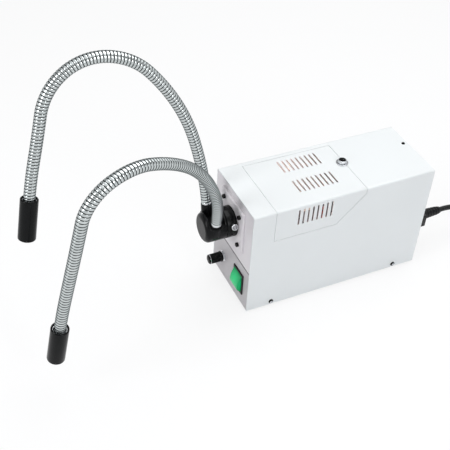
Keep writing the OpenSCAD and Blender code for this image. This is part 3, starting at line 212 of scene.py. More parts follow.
def powder_coat(name, colour, grain=1.3, depth=0.035, joint=None):
    """Powder-coated steel, baked: a faint orange peel with grains about 1.3 mm apart and a soft sheen. joint is the
    height of a butt joint, along which lies a dark band of grime and painted shade, fading out between 0.65 and
    1 mm from it."""
    m, where = start(name)
    tone = add(m, "ShaderNodeTexNoise", {"Scale": 0.02, "Detail": 3.0}, {"Vector": where})
    base = linear(colour)
    ramp = mixed(m, base, shade(base, 0.965), (tone, "Fac"))
    peel = add(m, "ShaderNodeTexNoise", {"Scale": 1 / grain, "Detail": 2.0, "Roughness": 0.6}, {"Vector": where})
    bump = add(m, "ShaderNodeBump", {"Strength": 0.35, "Distance": depth * MM}, {"Height": (peel, "Fac")})
    rough = add(m, "ShaderNodeMapRange", {"To Min": 0.40, "To Max": 0.52}, {"Value": (peel, "Fac")})
    if joint:
        split = add(m, "ShaderNodeSeparateXYZ", links={"Vector": where})
        above = add(m, "ShaderNodeMath", {1: joint}, {0: (split, "Z")}, operation="SUBTRACT")
        away = add(m, "ShaderNodeMath", links={0: (above, "Value")}, operation="ABSOLUTE")
        # Grime and painted shade: a dark band along the butt joint, darkened as the shade in the seam would be
        seam_grime_and_shade = add(m, "ShaderNodeMapRange", {"From Min": 0.65, "From Max": 1.0, "To Min": 1.0, "To Max": 0.0},
                    {"Value": (away, "Value")})
        ramp = mixed(m, (ramp, "Result"), linear("#3A3639"), (seam_grime_and_shade, "Result"))
    return close(m, {"IOR": 1.5}, {"Base Color": (ramp, "Result"), "Normal": (bump, "Normal"),
                                   "Roughness": (rough, "Result")})


def plated_sheet(name, colour, spangle=4.0):
    """Zinc-plated sheet, rolled: cloudy grains about 4 mm across and a dull grey shine."""
    m, where = start(name)
    cell = add(m, "ShaderNodeTexVoronoi", {"Scale": 1 / spangle}, {"Vector": where})
    base = linear(colour)
    tint = mixed(m, base, shade(base, 0.8), (cell, "Distance"))
    rough = add(m, "ShaderNodeMapRange", {"To Min": 0.28, "To Max": 0.46}, {"Value": (cell, "Distance")})
    return close(m, {"Metallic": 1.0}, {"Base Color": (tint, "Result"), "Roughness": (rough, "Result")})


def bright_plate(name, colour="#D4D6D9", scratch=0.05):
    """Nickel-chrome plated steel, polished: nearly a mirror, with hair-fine handling marks."""
    m, where = start(name)
    marks = add(m, "ShaderNodeTexNoise", {"Scale": 0.9, "Detail": 6.0, "Roughness": 0.7}, {"Vector": where})
    rough = add(m, "ShaderNodeMapRange", {"To Min": 0.10, "To Max": 0.10 + 4 * scratch}, {"Value": (marks, "Fac")})
    return close(m, {"Metallic": 1.0, "Base Color": linear(colour)}, {"Roughness": (rough, "Result")})


def black_anodised(name="black_anodised_aluminium", colour="#0B0C0D", cloudy="#151718"):
    """Aluminium, turned, bead-blasted and anodised black: satin, with a fine grit of about 0.4 mm."""
    m, where = start(name)
    grit = add(m, "ShaderNodeTexNoise", {"Scale": 2.5, "Detail": 3.0}, {"Vector": where})
    cloud = add(m, "ShaderNodeTexNoise", {"Scale": 0.09, "Detail": 2.0}, {"Vector": where})
    base = linear(colour)
    tint = mixed(m, base, linear(cloudy), (cloud, "Fac"))
    bump = add(m, "ShaderNodeBump", {"Strength": 0.25, "Distance": 0.03 * MM}, {"Height": (grit, "Fac")})
    rough = add(m, "ShaderNodeMapRange", {"To Min": 0.16, "To Max": 0.28}, {"Value": (grit, "Fac")})
    return close(m, {"Metallic": 0.08, "Specular IOR Level": 0.13},
                 {"Base Color": (tint, "Result"), "Normal": (bump, "Normal"), "Roughness": (rough, "Result")})


def wound_strip(name="wound_steel_strip"):
    """Galvanised steel strip, wound and polished by use: bright crests, and grooves darkened with painted shade."""
    m, where = start(name)
    depth = add(m, "ShaderNodeAttribute", attribute_name="groove")
    wear = add(m, "ShaderNodeTexNoise", {"Scale": 0.12, "Detail": 4.0}, {"Vector": where})
    crest = mixed(m, linear("#D6DBDB"), linear("#B9C0C1"), (wear, "Fac"))
    deep = add(m, "ShaderNodeMapRange", {"From Min": 0.13, "From Max": 0.50}, {"Value": (depth, "Fac")})
    # Painted shade: the colour falls to near black as the groove deepens
    tint = mixed(m, (crest, "Result"), linear("#0B0E0F"), (deep, "Result"))
    rough = add(m, "ShaderNodeMapRange", {"To Min": 0.10, "To Max": 0.45}, {"Value": (depth, "Fac")})
    # A dark edge tint paints shade along the outer edges of the winding, and keeps them from flaring up as clean chrome
    # does
    return close(m, {"Metallic": 1.0, "Specular Tint": linear("#3A3E40")},
                 {"Base Color": (tint, "Result"), "Roughness": (rough, "Result")})


def moulded(name, colour, rough=0.45, grain=0.6, depth=0.04, gloss=0.5):
    """Injection-moulded plastic: an even colour with a fine spark-eroded grain about 0.6 mm apart. gloss is its
    specular level: 0.5 for a clean skin, less for one dulled by handling."""
    m, where = start(name)
    grit = add(m, "ShaderNodeTexNoise", {"Scale": 1 / grain, "Detail": 2.0}, {"Vector": where})
    flow = add(m, "ShaderNodeTexNoise", {"Scale": 0.05, "Detail": 2.0}, {"Vector": where})
    base = linear(colour)
    tint = mixed(m, base, shade(base, 1.25, 0.002), (flow, "Fac"))
    bump = add(m, "ShaderNodeBump", {"Strength": 0.3, "Distance": depth * MM}, {"Height": (grit, "Fac")})
    spread = add(m, "ShaderNodeMapRange", {"To Min": rough - 0.06, "To Max": rough + 0.08}, {"Value": (grit, "Fac")})
    return close(m, {"IOR": 1.5, "Specular IOR Level": gloss},
                 {"Base Color": (tint, "Result"), "Normal": (bump, "Normal"), "Roughness": (spread, "Result")})


def lit_lens(name, colour, glow):
    """Polycarbonate rocker, moulded and polished, with a neon lamp behind it: brightest over the lamp."""
    m, where = start(name)
    near = add(m, "ShaderNodeMapping", {"Location": (-24, 0, -36)}, {"Vector": where})
    ball = add(m, "ShaderNodeVectorMath", links={"Vector": (near, "Vector")}, operation="LENGTH")
    hot = add(m, "ShaderNodeMapRange", {"From Min": 2.0, "From Max": 15.0, "To Min": 1.0, "To Max": 0.0},
              {"Value": (ball, "Value")})
    base = linear(colour)
    body = mixed(m, shade(base, 0.55), base, (hot, "Result"))
    light = mixed(m, shade(base, 0.30), linear("#16D884"), (hot, "Result"))
    return close(m, {"IOR": 1.58, "Roughness": 0.22, "Specular IOR Level": 0.25, "Emission Strength": glow},
                 {"Base Color": (body, "Result"), "Emission Color": (light, "Result")})


def clear_glass(name, colour, rough=0.02, transmission=0.9, ior=1.46):
    """Glass, pressed or drawn: clear with a slight tint and fine ripples about 8 mm long."""
    m, where = start(name)
    ripple = add(m, "ShaderNodeTexNoise", {"Scale": 0.12, "Detail": 1.0}, {"Vector": where})
    bump = add(m, "ShaderNodeBump", {"Strength": 0.1, "Distance": 0.05 * MM}, {"Height": (ripple, "Fac")})
    return close(m, {"Base Color": linear(colour), "Roughness": rough, "IOR": ior,
                     "Transmission Weight": transmission}, {"Normal": (bump, "Normal")})


def dichroic(name="dichroic_reflector"):
    """Pressed glass with a dichroic coating: mirror-bright inside, letting warm pink light through its back."""
    m, where = start(name)
    where = add(m, "ShaderNodeMapping", {"Location": (0, -50, -PORT_Z)}, {"Vector": where})
    split = add(m, "ShaderNodeSeparateXYZ", links={"Vector": (where, "Vector")})
    back = add(m, "ShaderNodeMapRange", {"From Min": 0.0, "From Max": 34.0}, {"Value": (split, "Y")})
    warm = mixed(m, linear("#FFEFEA"), linear("#FFB49C"), (back, "Result"))
    facet = add(m, "ShaderNodeTexVoronoi", {"Scale": 0.28}, {"Vector": (where, "Vector")})
    bump = add(m, "ShaderNodeBump", {"Strength": 0.4, "Distance": 0.4 * MM}, {"Height": (facet, "Distance")})
    return close(m, {"Base Color": linear("#DDE2EA"), "Metallic": 0.85, "Roughness": 0.12, "Emission Strength": 3.6},
                 {"Emission Color": (warm, "Result"), "Normal": (bump, "Normal")})


def hot_filament(name, glow):
    """Tungsten wire, coiled, at work: a warm white light."""
    m, where = start(name)
    coil = add(m, "ShaderNodeTexWave", {"Scale": 1.2, "Distortion": 0.5}, {"Vector": where})
    tint = mixed(m, linear("#FFD9A8"), linear("#FFB070"), (coil, "Fac"))
    return close(m, {"Base Color": linear("#FFE2C0"), "Emission Strength": glow}, {"Emission Color": (tint, "Result")})


def fired_ceramic(name="steatite_ceramic"):
    """Steatite, pressed and fired, unglazed: chalky off-white with specks about 0.8 mm apart."""
    m, where = start(name)
    speck = add(m, "ShaderNodeTexNoise", {"Scale": 1.2, "Detail": 5.0}, {"Vector": where})
    tint = mixed(m, linear("#EFE9DD"), linear("#D8D0C0"), (speck, "Fac"))
    bump = add(m, "ShaderNodeBump", {"Strength": 0.3, "Distance": 0.05 * MM}, {"Height": (speck, "Fac")})
    return close(m, {"Roughness": 0.75}, {"Base Color": (tint, "Result"), "Normal": (bump, "Normal")})


def stacked_core(name="varnished_laminations"):
    """Silicon-steel laminations, stamped, stacked and varnished: dark edges of 0.5 mm sheets, drawn 1 mm apart."""
    m, where = start(name)
    sheet = add(m, "ShaderNodeTexWave", {"Scale": 0.32, "Distortion": 0.2}, {"Vector": where}, bands_direction="Z")
    tint = mixed(m, linear("#3B3735"), linear("#6A6562"), (sheet, "Fac"))
    bump = add(m, "ShaderNodeBump", {"Strength": 0.5, "Distance": 0.1 * MM}, {"Height": (sheet, "Fac")})
    return close(m, {"Metallic": 0.6, "Roughness": 0.45, "Coat Weight": 0.3},
                 {"Base Color": (tint, "Result"), "Normal": (bump, "Normal")})


def taped_winding(name="polyester_tape"):
    """Polyester tape, wound over the copper: amber, with lap edges about 9 mm apart."""
    m, where = start(name)
    lap = add(m, "ShaderNodeTexWave", {"Scale": 0.035, "Distortion": 1.0}, {"Vector": where},
              bands_direction="Y", wave_profile="SAW")
    tint = mixed(m, linear("#C9922E"), linear("#A87418"), (lap, "Fac"))
    bump = add(m, "ShaderNodeBump", {"Strength": 0.5, "Distance": 0.1 * MM}, {"Height": (lap, "Fac")})
    return close(m, {"Roughness": 0.3, "IOR": 1.6}, {"Base Color": (tint, "Result"), "Normal": (bump, "Normal")})


def circuit_board(name="solder_resist"):
    """Glass-epoxy board under green solder resist: faint lighter tracks about 3 mm apart."""
    m, where = start(name)
    track = add(m, "ShaderNodeTexBrick", {"Scale": 0.16, "Color1": linear("#1C6B38"), "Color2": linear("#1F7A40"),
                                          "Mortar": linear("#3E9A5C"), "Mortar Size": 0.03}, {"Vector": where})
    return close(m, {"Roughness": 0.3, "IOR": 1.5}, {"Base Color": (track, "Color")})


def fibre_face(name="polished_fibre_bundle"):
    """Glass fibres, packed and polished flat: a pale disc of 0.05 mm ends, drawn 0.5 mm apart, and lit."""
    m, where = start(name)
    ends = add(m, "ShaderNodeTexVoronoi", {"Scale": 2.0}, {"Vector": where})
    dot = add(m, "ShaderNodeMapRange", {"From Max": 0.6, "To Min": 1.0, "To Max": 0.35}, {"Value": (ends, "Distance")})
    tint = mixed(m, linear("#6F6A5C"), linear("#FFF3DC"), (dot, "Result"))
    return close(m, {"Roughness": 0.2, "Emission Strength": 1.2},
                 {"Base Color": (tint, "Result"), "Emission Color": (tint, "Result")})


def soft_pvc(name, colour="#17181A", rough=0.42):
    """PVC, extruded or moulded over the wires: dark and slightly waxy, with drag lines about 2 mm apart."""
    m, where = start(name)
    drag = add(m, "ShaderNodeTexNoise", {"Scale": 0.5, "Detail": 4.0}, {"Vector": where})
    base = linear(colour)
    tint = mixed(m, base, shade(base, 1.5, 0.003), (drag, "Fac"))
    spread = add(m, "ShaderNodeMapRange", {"To Min": rough - 0.08, "To Max": rough + 0.1}, {"Value": (drag, "Fac")})
    return close(m, {"IOR": 1.52, "Specular IOR Level": 0.3},
                 {"Base Color": (tint, "Result"), "Roughness": (spread, "Result")})


MATERIALS = {}


def finish_of(key):
    """The material of that key, made once from the user's colours."""
    if key not in MATERIALS:
        look = bpy.context.scene.illuminator_finish
        make = {
            "white": lambda: powder_coat("white_powder_coat", tuple(look.paint)),
            "grey": lambda: powder_coat("grey_powder_coat", tuple(look.panel), 1.0, 0.025, SEAM_Z),
            # Painted shade: the lower front panel's paint is 0.85 of the upper one's, darkened as the shade on it would
            # be
            "grey_low": lambda: powder_coat("grey_textured_coat_painted_shade", tuple(0.85 * v for v in look.panel), 1.6, 0.05,
                                            SEAM_Z),
            "zinc": lambda: plated_sheet("zinc_plated_sheet", "#B9BDC2"),
            "chrome": lambda: bright_plate("bright_chrome_plate"),
            "black": black_anodised,
            "oxide": lambda: black_anodised("black_oxide_steel", "#0D0D0E", "#161617"),
            "nickel": lambda: bright_plate("smoky_nickel_plate", "#5C5E62", 0.03),
            "satin": lambda: plated_sheet("satin_nickel_plate", "#8C8D91", 1.5),
            "strip": wound_strip,
            "abs": lambda: moulded("moulded_black_abs", "#0C0D0E", 0.30, gloss=0.3),
            "phenolic": lambda: moulded("moulded_black_phenolic", "#060708", 0.18, 0.6, 0.01, 0.12),
            "nylon": lambda: moulded("moulded_dark_nylon", "#232427", 0.5),
            "lens": lambda: lit_lens("lit_green_polycarbonate", tuple(look.rocker), look.rocker_glow),
            "laminate": lambda: moulded("phenolic_laminate", "#6B5A43", 0.6, 2.0, 0.05),
            "dichroic": dichroic,
            "quartz": lambda: clear_glass("drawn_quartz", "#F6F4EE"),
            "filter": lambda: clear_glass("heat_absorbing_glass", "#C4EEEC", 0.01, 0.92, 1.52),
            "tube": lambda: clear_glass("drawn_glass_tube", "#EEF3F4"),
            "filament": lambda: hot_filament("hot_tungsten", look.lamp_glow),
            "ceramic": fired_ceramic,
            "core": stacked_core,
            "tape": taped_winding,
            "board": circuit_board,
            "fibre": fibre_face,
            "pvc": lambda: soft_pvc("black_pvc", "#121315", 0.28),
            "rubber": lambda: soft_pvc("black_rubber", "#141414", 0.7),
            "sleeving": lambda: soft_pvc("red_silicone_sleeving", "#9C241A", 0.5),
            "ink": lambda: moulded("white_index_paint", "#E6E7E8", 0.4),
        }
        MATERIALS[key] = make[key]()
    return MATERIALS[key]


# ---- Surfaces ----

def sheet_faces(rows, columns, wrap_rows, wrap_columns, offset):
    """Quads of a grid of points, row by row, joined round where wrap is true."""
    i, j = np.meshgrid(np.arange(rows - (not wrap_rows)), np.arange(columns - (not wrap_columns)), indexing="ij")
    a = i * columns + j
    b = i * columns + (j + 1) % columns
    c = (i + 1) % rows * columns + (j + 1) % columns
    d = (i + 1) % rows * columns + j
    return (np.stack([a, b, c, d], -1).reshape(-1, 4) + offset).tolist()


class Surface:
    """Grids of points in millimetres, gathered into one mesh."""

    def __init__(self):
        self.points, self.faces, self.slots, self.values, self.count = [], [], [], [], 0

    def grid(self, points, wrap_rows=False, wrap_columns=False, caps=(), slot=0, value=None):
        """Adds a grid P(i, j). caps names the end rows to close with a flat face: 0 for the first, -1 for the last."""
        rows, columns = points.shape[:2]
        faces = sheet_faces(rows, columns, wrap_rows, wrap_columns, self.count)
        for end in caps:
            first = self.count + (0 if end == 0 else (rows - 1) * columns)
            ring = list(range(first, first + columns))
            faces.append(ring[::-1] if end == 0 else ring)
        self.points.append(points.reshape(-1, 3))
        self.faces += faces
        self.slots += [slot] * len(faces)
        self.values.append(np.zeros(rows * columns) if value is None else np.asarray(value, float).reshape(-1))
        self.count += rows * columns
        return self

    def solid(self, points, slot=0):
        """Adds a closed form: the columns are joined round and both end rows have a flat face."""
        return self.grid(points, wrap_columns=True, caps=(0, -1), slot=slot)

    def make(self, name, materials, body, replaces=(), slot=None, smooth=40, bevel=0, attribute=None):
        """Makes the mesh, merges its seams, turns its faces outwards and lets it ride on a body."""
        mesh = bpy.data.meshes.new(name)
        mesh.from_pydata((np.concatenate(self.points) * MM).tolist(), [], self.faces)
        if attribute:
            layer = mesh.attributes.new(attribute, "FLOAT", "POINT")
            layer.data.foreach_set("value", np.concatenate(self.values).astype(np.float32))
        for key in materials:
            mesh.materials.append(finish_of(key))
        mesh.polygons.foreach_set("material_index", self.slots)
        work = bmesh.new()
        work.from_mesh(mesh)
        bmesh.ops.remove_doubles(work, verts=work.verts, dist=1e-6)
        bmesh.ops.recalc_face_normals(work, faces=work.faces)
        work.to_mesh(mesh)
        work.free()
        mesh.shade_smooth()
        mesh.set_sharp_from_angle(angle=math.radians(smooth))
        piece = bpy.data.objects.new(name, mesh)
        bpy.context.scene.collection.objects.link(piece)
        if bevel:
            soften(piece, bevel)
        if replaces:
            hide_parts(*replaces)
        if body:
            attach(piece, body)
        return piece


def soften(piece, width, segments=2):
    """Rounds the sharp edges with a Bevel modifier of that width in millimetres."""
    edge = piece.modifiers.new("rounded_edges", "BEVEL")
    edge.width, edge.segments, edge.limit_method, edge.angle_limit = width * MM, segments, "ANGLE", math.radians(35)
    edge.harden_normals = False


def placed(points, matrix):
    """Points times a 4 by 4 matrix."""
    return points @ matrix[:3, :3].T + matrix[:3, 3]


def axes(origin, z, x=(1, 0, 0)):
    """A matrix whose Z axis is z at that origin, and whose X axis is the part of x square to z."""
    z = np.asarray(z, float) / np.linalg.norm(z)
    x = np.asarray(x, float) - np.dot(x, z) * z
    x /= np.linalg.norm(x)
    m = np.eye(4)
    m[:3, 0], m[:3, 1], m[:3, 2], m[:3, 3] = x, np.cross(z, x), z, origin
    return m


def rounded(profile, radii, steps=5):
    """Replaces each inner corner of a profile by an arc of its radius: the arc runs between the points at
    radius times tan(half the turn) along both sides, and its points are a quadratic curve through them."""
    profile = np.asarray(profile, float)
    radii = np.broadcast_to(np.asarray(radii, float), len(profile))
    out = [profile[:1]]
    t = np.linspace(0, 1, steps)[:, None]
    for before, here, after, r in zip(profile[:-2], profile[1:-1], profile[2:], radii[1:-1]):
        to_b, to_a = before - here, after - here
        lb, la = np.linalg.norm(to_b), np.linalg.norm(to_a)
        cut = min(r, lb * 0.49, la * 0.49)
        p, q = here + to_b / lb * cut, here + to_a / la * cut
        out.append((1 - t) ** 2 * p + 2 * (1 - t) * t * here + t ** 2 * q)
    out.append(profile[-1:])
    return np.concatenate(out)


def lathe(profile, matrix, segments=64, ripple=None):
    """Turns a profile of (radius, height) about Z: P = (r cos a, r sin a, z). ripple(a, z) is added to r."""
    profile = np.asarray(profile, float)
    a = np.linspace(0, TAU, segments, endpoint=False)
    r, z = profile[:, :1], profile[:, 1:]
    radius = r + (0 if ripple is None else ripple(a[None, :], z) * (r > 1e-6))
    points = np.stack([radius * np.cos(a), radius * np.sin(a), z + 0 * a], -1)
    return placed(points, matrix)


def loft(stations, width, height, matrix, power=4.0, segments=48):
    """Sections of a superellipse along Z: x = w sgn(cos a)|cos a|^(2/n), y = h sgn(sin a)|sin a|^(2/n)."""
    a = np.linspace(0, TAU, segments, endpoint=False)
    z = np.asarray(stations, float)[:, None]
    w, h, n = (np.broadcast_to(np.asarray(v, float), len(stations))[:, None] for v in (width, height, power))
    c, s = np.cos(a), np.sin(a)
    points = np.stack([w * np.sign(c) * abs(c) ** (2 / n), h * np.sign(s) * abs(s) ** (2 / n), z + 0 * a], -1)
    return placed(points, matrix)


def tube(path, radius, segments=20, side=(1, 0, 0)):
    """A round section carried along a path: each ring lies square to the path there."""
    path = np.asarray(path, float)
    tangent = np.gradient(path, axis=0)
    tangent /= np.linalg.norm(tangent, axis=1)[:, None]
    across = np.cross(tangent, np.asarray(side, float))
    flat = np.linalg.norm(across, axis=1) < 1e-3
    across[flat] = np.cross(tangent[flat], (0.0, 1.0, 0.0))
    across /= np.linalg.norm(across, axis=1)[:, None]
    other = np.cross(across, tangent)
    a = np.linspace(0, TAU, segments, endpoint=False)
    radius = np.broadcast_to(np.asarray(radius, float), len(path))[:, None, None]
    return path[:, None] + radius * (np.cos(a)[None, :, None] * other[:, None]
                                     + np.sin(a)[None, :, None] * across[:, None])


def smooth_path(points, step):
    """A uniform Catmull-Rom spline through the points, sampled about every step millimetres. Between b and c it is
    (2b + (c - a) t + (2a - 5b + 4c - d) t^2 + (3b - a - 3c + d) t^3) / 2."""
    p = np.asarray(points, float)
    p = np.vstack([2 * p[0] - p[1], p, 2 * p[-1] - p[-2]])
    out = []
    for a, b, c, d in zip(p[:-3], p[1:-2], p[2:-1], p[3:]):
        n = max(2, int(round(np.linalg.norm(c - b) / step)))
        t = np.linspace(0, 1, n, endpoint=False)[:, None]
        out.append(0.5 * (2 * b + (c - a) * t + (2 * a - 5 * b + 4 * c - d) * t ** 2
                          + (3 * b - a - 3 * c + d) * t ** 3))
    out.append(p[-2:-1])
    return np.concatenate(out)


def hexagon_socket(profile, across, top, low, matrix, segments=48):
    """A turned head with a hexagonal socket: the socket's radius at angle a is its apothem, 0.866 of its corner
    radius across, over the cosine of the angle from the nearest flat. It runs from the top down to low."""
    a = np.linspace(0, TAU, segments, endpoint=False)
    hexagon = 0.866 * across / np.cos(np.mod(a, TAU / 6) - TAU / 12)
    radii = [np.full(segments, r) for r, _ in profile] + [hexagon, hexagon, hexagon * 0.02]
    heights = [h for _, h in profile] + [top, low, low - 0.15]
    rings = [np.stack([r * np.cos(a), r * np.sin(a), np.full(segments, h)], -1) for r, h in zip(radii, heights)]
    return placed(np.stack(rings), matrix)


def slotted_disc(radius, top, thick, slot, reach, depth, matrix):
    """A disc with a screwdriver slot. Row x = R sin u is a closed loop over the chord y = v sqrt(R^2 - x^2) and back
    under it. Its upper side drops by depth where |x| is below half the slot and |v| below reach."""
    u = np.linspace(-math.pi / 2, math.pi / 2, 25)
    edges = np.array([-slot / 2 - 0.03, -slot / 2, slot / 2, slot / 2 + 0.03])
    x = np.unique(np.concatenate([radius * np.sin(u[abs(radius * np.sin(u)) > slot / 2 + 0.1]), edges]))
    v = np.unique(np.concatenate([np.linspace(-1, 1, 15), [-reach - 0.02, -reach, reach, reach + 0.02]]))
    chord = np.sqrt(np.clip(radius ** 2 - x ** 2, 0, None))[:, None]
    upper = top - depth * ((abs(x)[:, None] <= slot / 2 + 1e-6) & (abs(v)[None, :] <= reach + 1e-6))
    over = np.stack([x[:, None] + 0 * v, v * chord, upper], -1)
    under = over[:, ::-1].copy()
    under[..., 2] = top - thick
    return placed(np.concatenate([over, under], 1), matrix)


def straight(a, b, radius, segments=16):
    """A rod from a to b as a grid of two rings."""
    way = np.subtract(b, a)
    return lathe([(radius, 0), (radius, np.linalg.norm(way))], axes(a, way, (0.3, 0.4, 0.86)), segments)


def knurl(grooves, low, high):
    """A ripple for lathe between two heights: r falls by 0.2 (1 + cos(n a)) / 2 for n grooves."""
    return lambda a, z: -0.2 * (0.5 + 0.5 * np.cos(grooves * a)) * ((z > low) & (z < high))


def bar(half, corners, matrix):
    """A bar of that half width along X, whose section has those corners (y, z)."""
    return placed(np.array([[[x, y, z] for x in (-half, half)] for y, z in corners], float), matrix)


def dress(node, key, bevel=0.0):
    """Gives a CAD node its material and, where its edges show, a small rounding over welded triangles."""
    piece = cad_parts[node]
    piece.data.materials.clear()
    piece.data.materials.append(finish_of(key))
    piece.data.polygons.foreach_set("material_index", [0] * len(piece.data.polygons))
    if bevel:
        weld = piece.modifiers.new("weld", "WELD")
        weld.merge_threshold = 1e-6
        soften(piece, bevel)
    return piece


# ---- Goosenecks ----

def neck(arm, s):
    """Centre, direction and plane normal of a gooseneck at arc lengths s. Within a stretch the curve is
    an even arc, so the centre lies a chord, l sin(b/2) / (b/2), along the middle direction of the arc."""
    q = ARMS[arm]
    turn, lean = math.radians(q["turn"]), math.radians(q["lean"])
    ahead = np.array([math.sin(turn), -math.cos(turn), 0.0])
    up = np.array([math.cos(turn) * math.sin(lean), math.sin(turn) * math.sin(lean), math.cos(lean)])
    bends = np.radians(q["bends"])
    slopes = math.radians(q["start"]) + np.concatenate([[0], np.cumsum(bends)])

    def heading(t):
        return np.sin(t)[..., None] * ahead + np.cos(t)[..., None] * up

    def chord(l, b):
        half = np.where(abs(b) < 1e-5, 1e-5, b) / 2
        return l * np.sin(half) / half

    knots = np.array([q["side"], ROOT_Y, ROOT_Z]) + np.vstack(
        [np.zeros(3), np.cumsum(chord(STRETCH, bends)[:, None] * heading(slopes[:-1] + bends / 2), 0)])
    s = np.atleast_1d(np.asarray(s, float))
    k = np.clip((s // STRETCH).astype(int), 0, len(bends) - 1)
    l = s - STRETCH * k
    b = np.where(s > NECK, 0, bends[k] * l / STRETCH)
    centre = knots[k] + chord(l, b)[:, None] * heading(slopes[k] + b / 2)
    past = s > NECK
    centre[past] = knots[-1] + (s[past] - NECK)[:, None] * heading(np.full(past.sum(), slopes[-1]))
    return centre, heading(np.where(past, slopes[-1], slopes[k] + b)), np.cross(up, ahead)


def neck_place(arm, s):
    """The matrix whose Z axis runs along a gooseneck at arc length s."""
    centre, direction, normal = neck(arm, [s])
    return axes(centre[0], direction[0], normal)


def wound_length(arm, s0, s1, pitch, outer, groove, bore=3.6, columns=36, per_turn=10):
    """A wound strip on a helical grid: row i and angle a lie at length s = pitch (i / per_turn + a / 2 pi), held
    between both ends, so every row keeps its phase p = s / pitch - a / 2 pi. Across a winding the crest is nearly
    flat and its edges roll in: it falls by g (2p - 1)^4, which is the groove depth g between two windings. The
    second grid closes both ends and lines the bore."""
    rows = np.arange(math.floor(s0 / pitch - 1) * per_turn, math.ceil(s1 / pitch) * per_turn + 1)
    a = np.linspace(0, TAU, columns + 1)

    def skin(s, angle):
        phase = np.mod(s / pitch - angle / TAU, 1.0)
        fall = groove * (2 * phase - 1) ** 4
        centre, direction, normal = (v.reshape(s.shape + (3,)) if v.ndim > 1 else v for v in neck(arm, s.reshape(-1)))
        ring = np.cos(angle)[..., None] * normal + np.sin(angle)[..., None] * np.cross(direction, normal)
        return centre, ring, outer - fall, fall / groove

    s = np.clip(pitch * (rows[:, None] / per_turn + a / TAU), s0, s1)
    centre, ring, radius, deep = skin(s, a + 0 * s)
    wound = centre + radius[..., None] * ring
    inner = np.linspace(s0, s1, max(2, int((s1 - s0) / 8)))
    s = np.concatenate([[s0], inner, [s1]])[:, None] + 0 * a[:-1]
    centre, ring, radius = skin(s, a[:-1] + 0 * s)[:3]
    radius[1:-1] = bore
    return wound, deep, centre + radius[..., None] * ring


# ---- Operators: one for each piece or group of like pieces ----

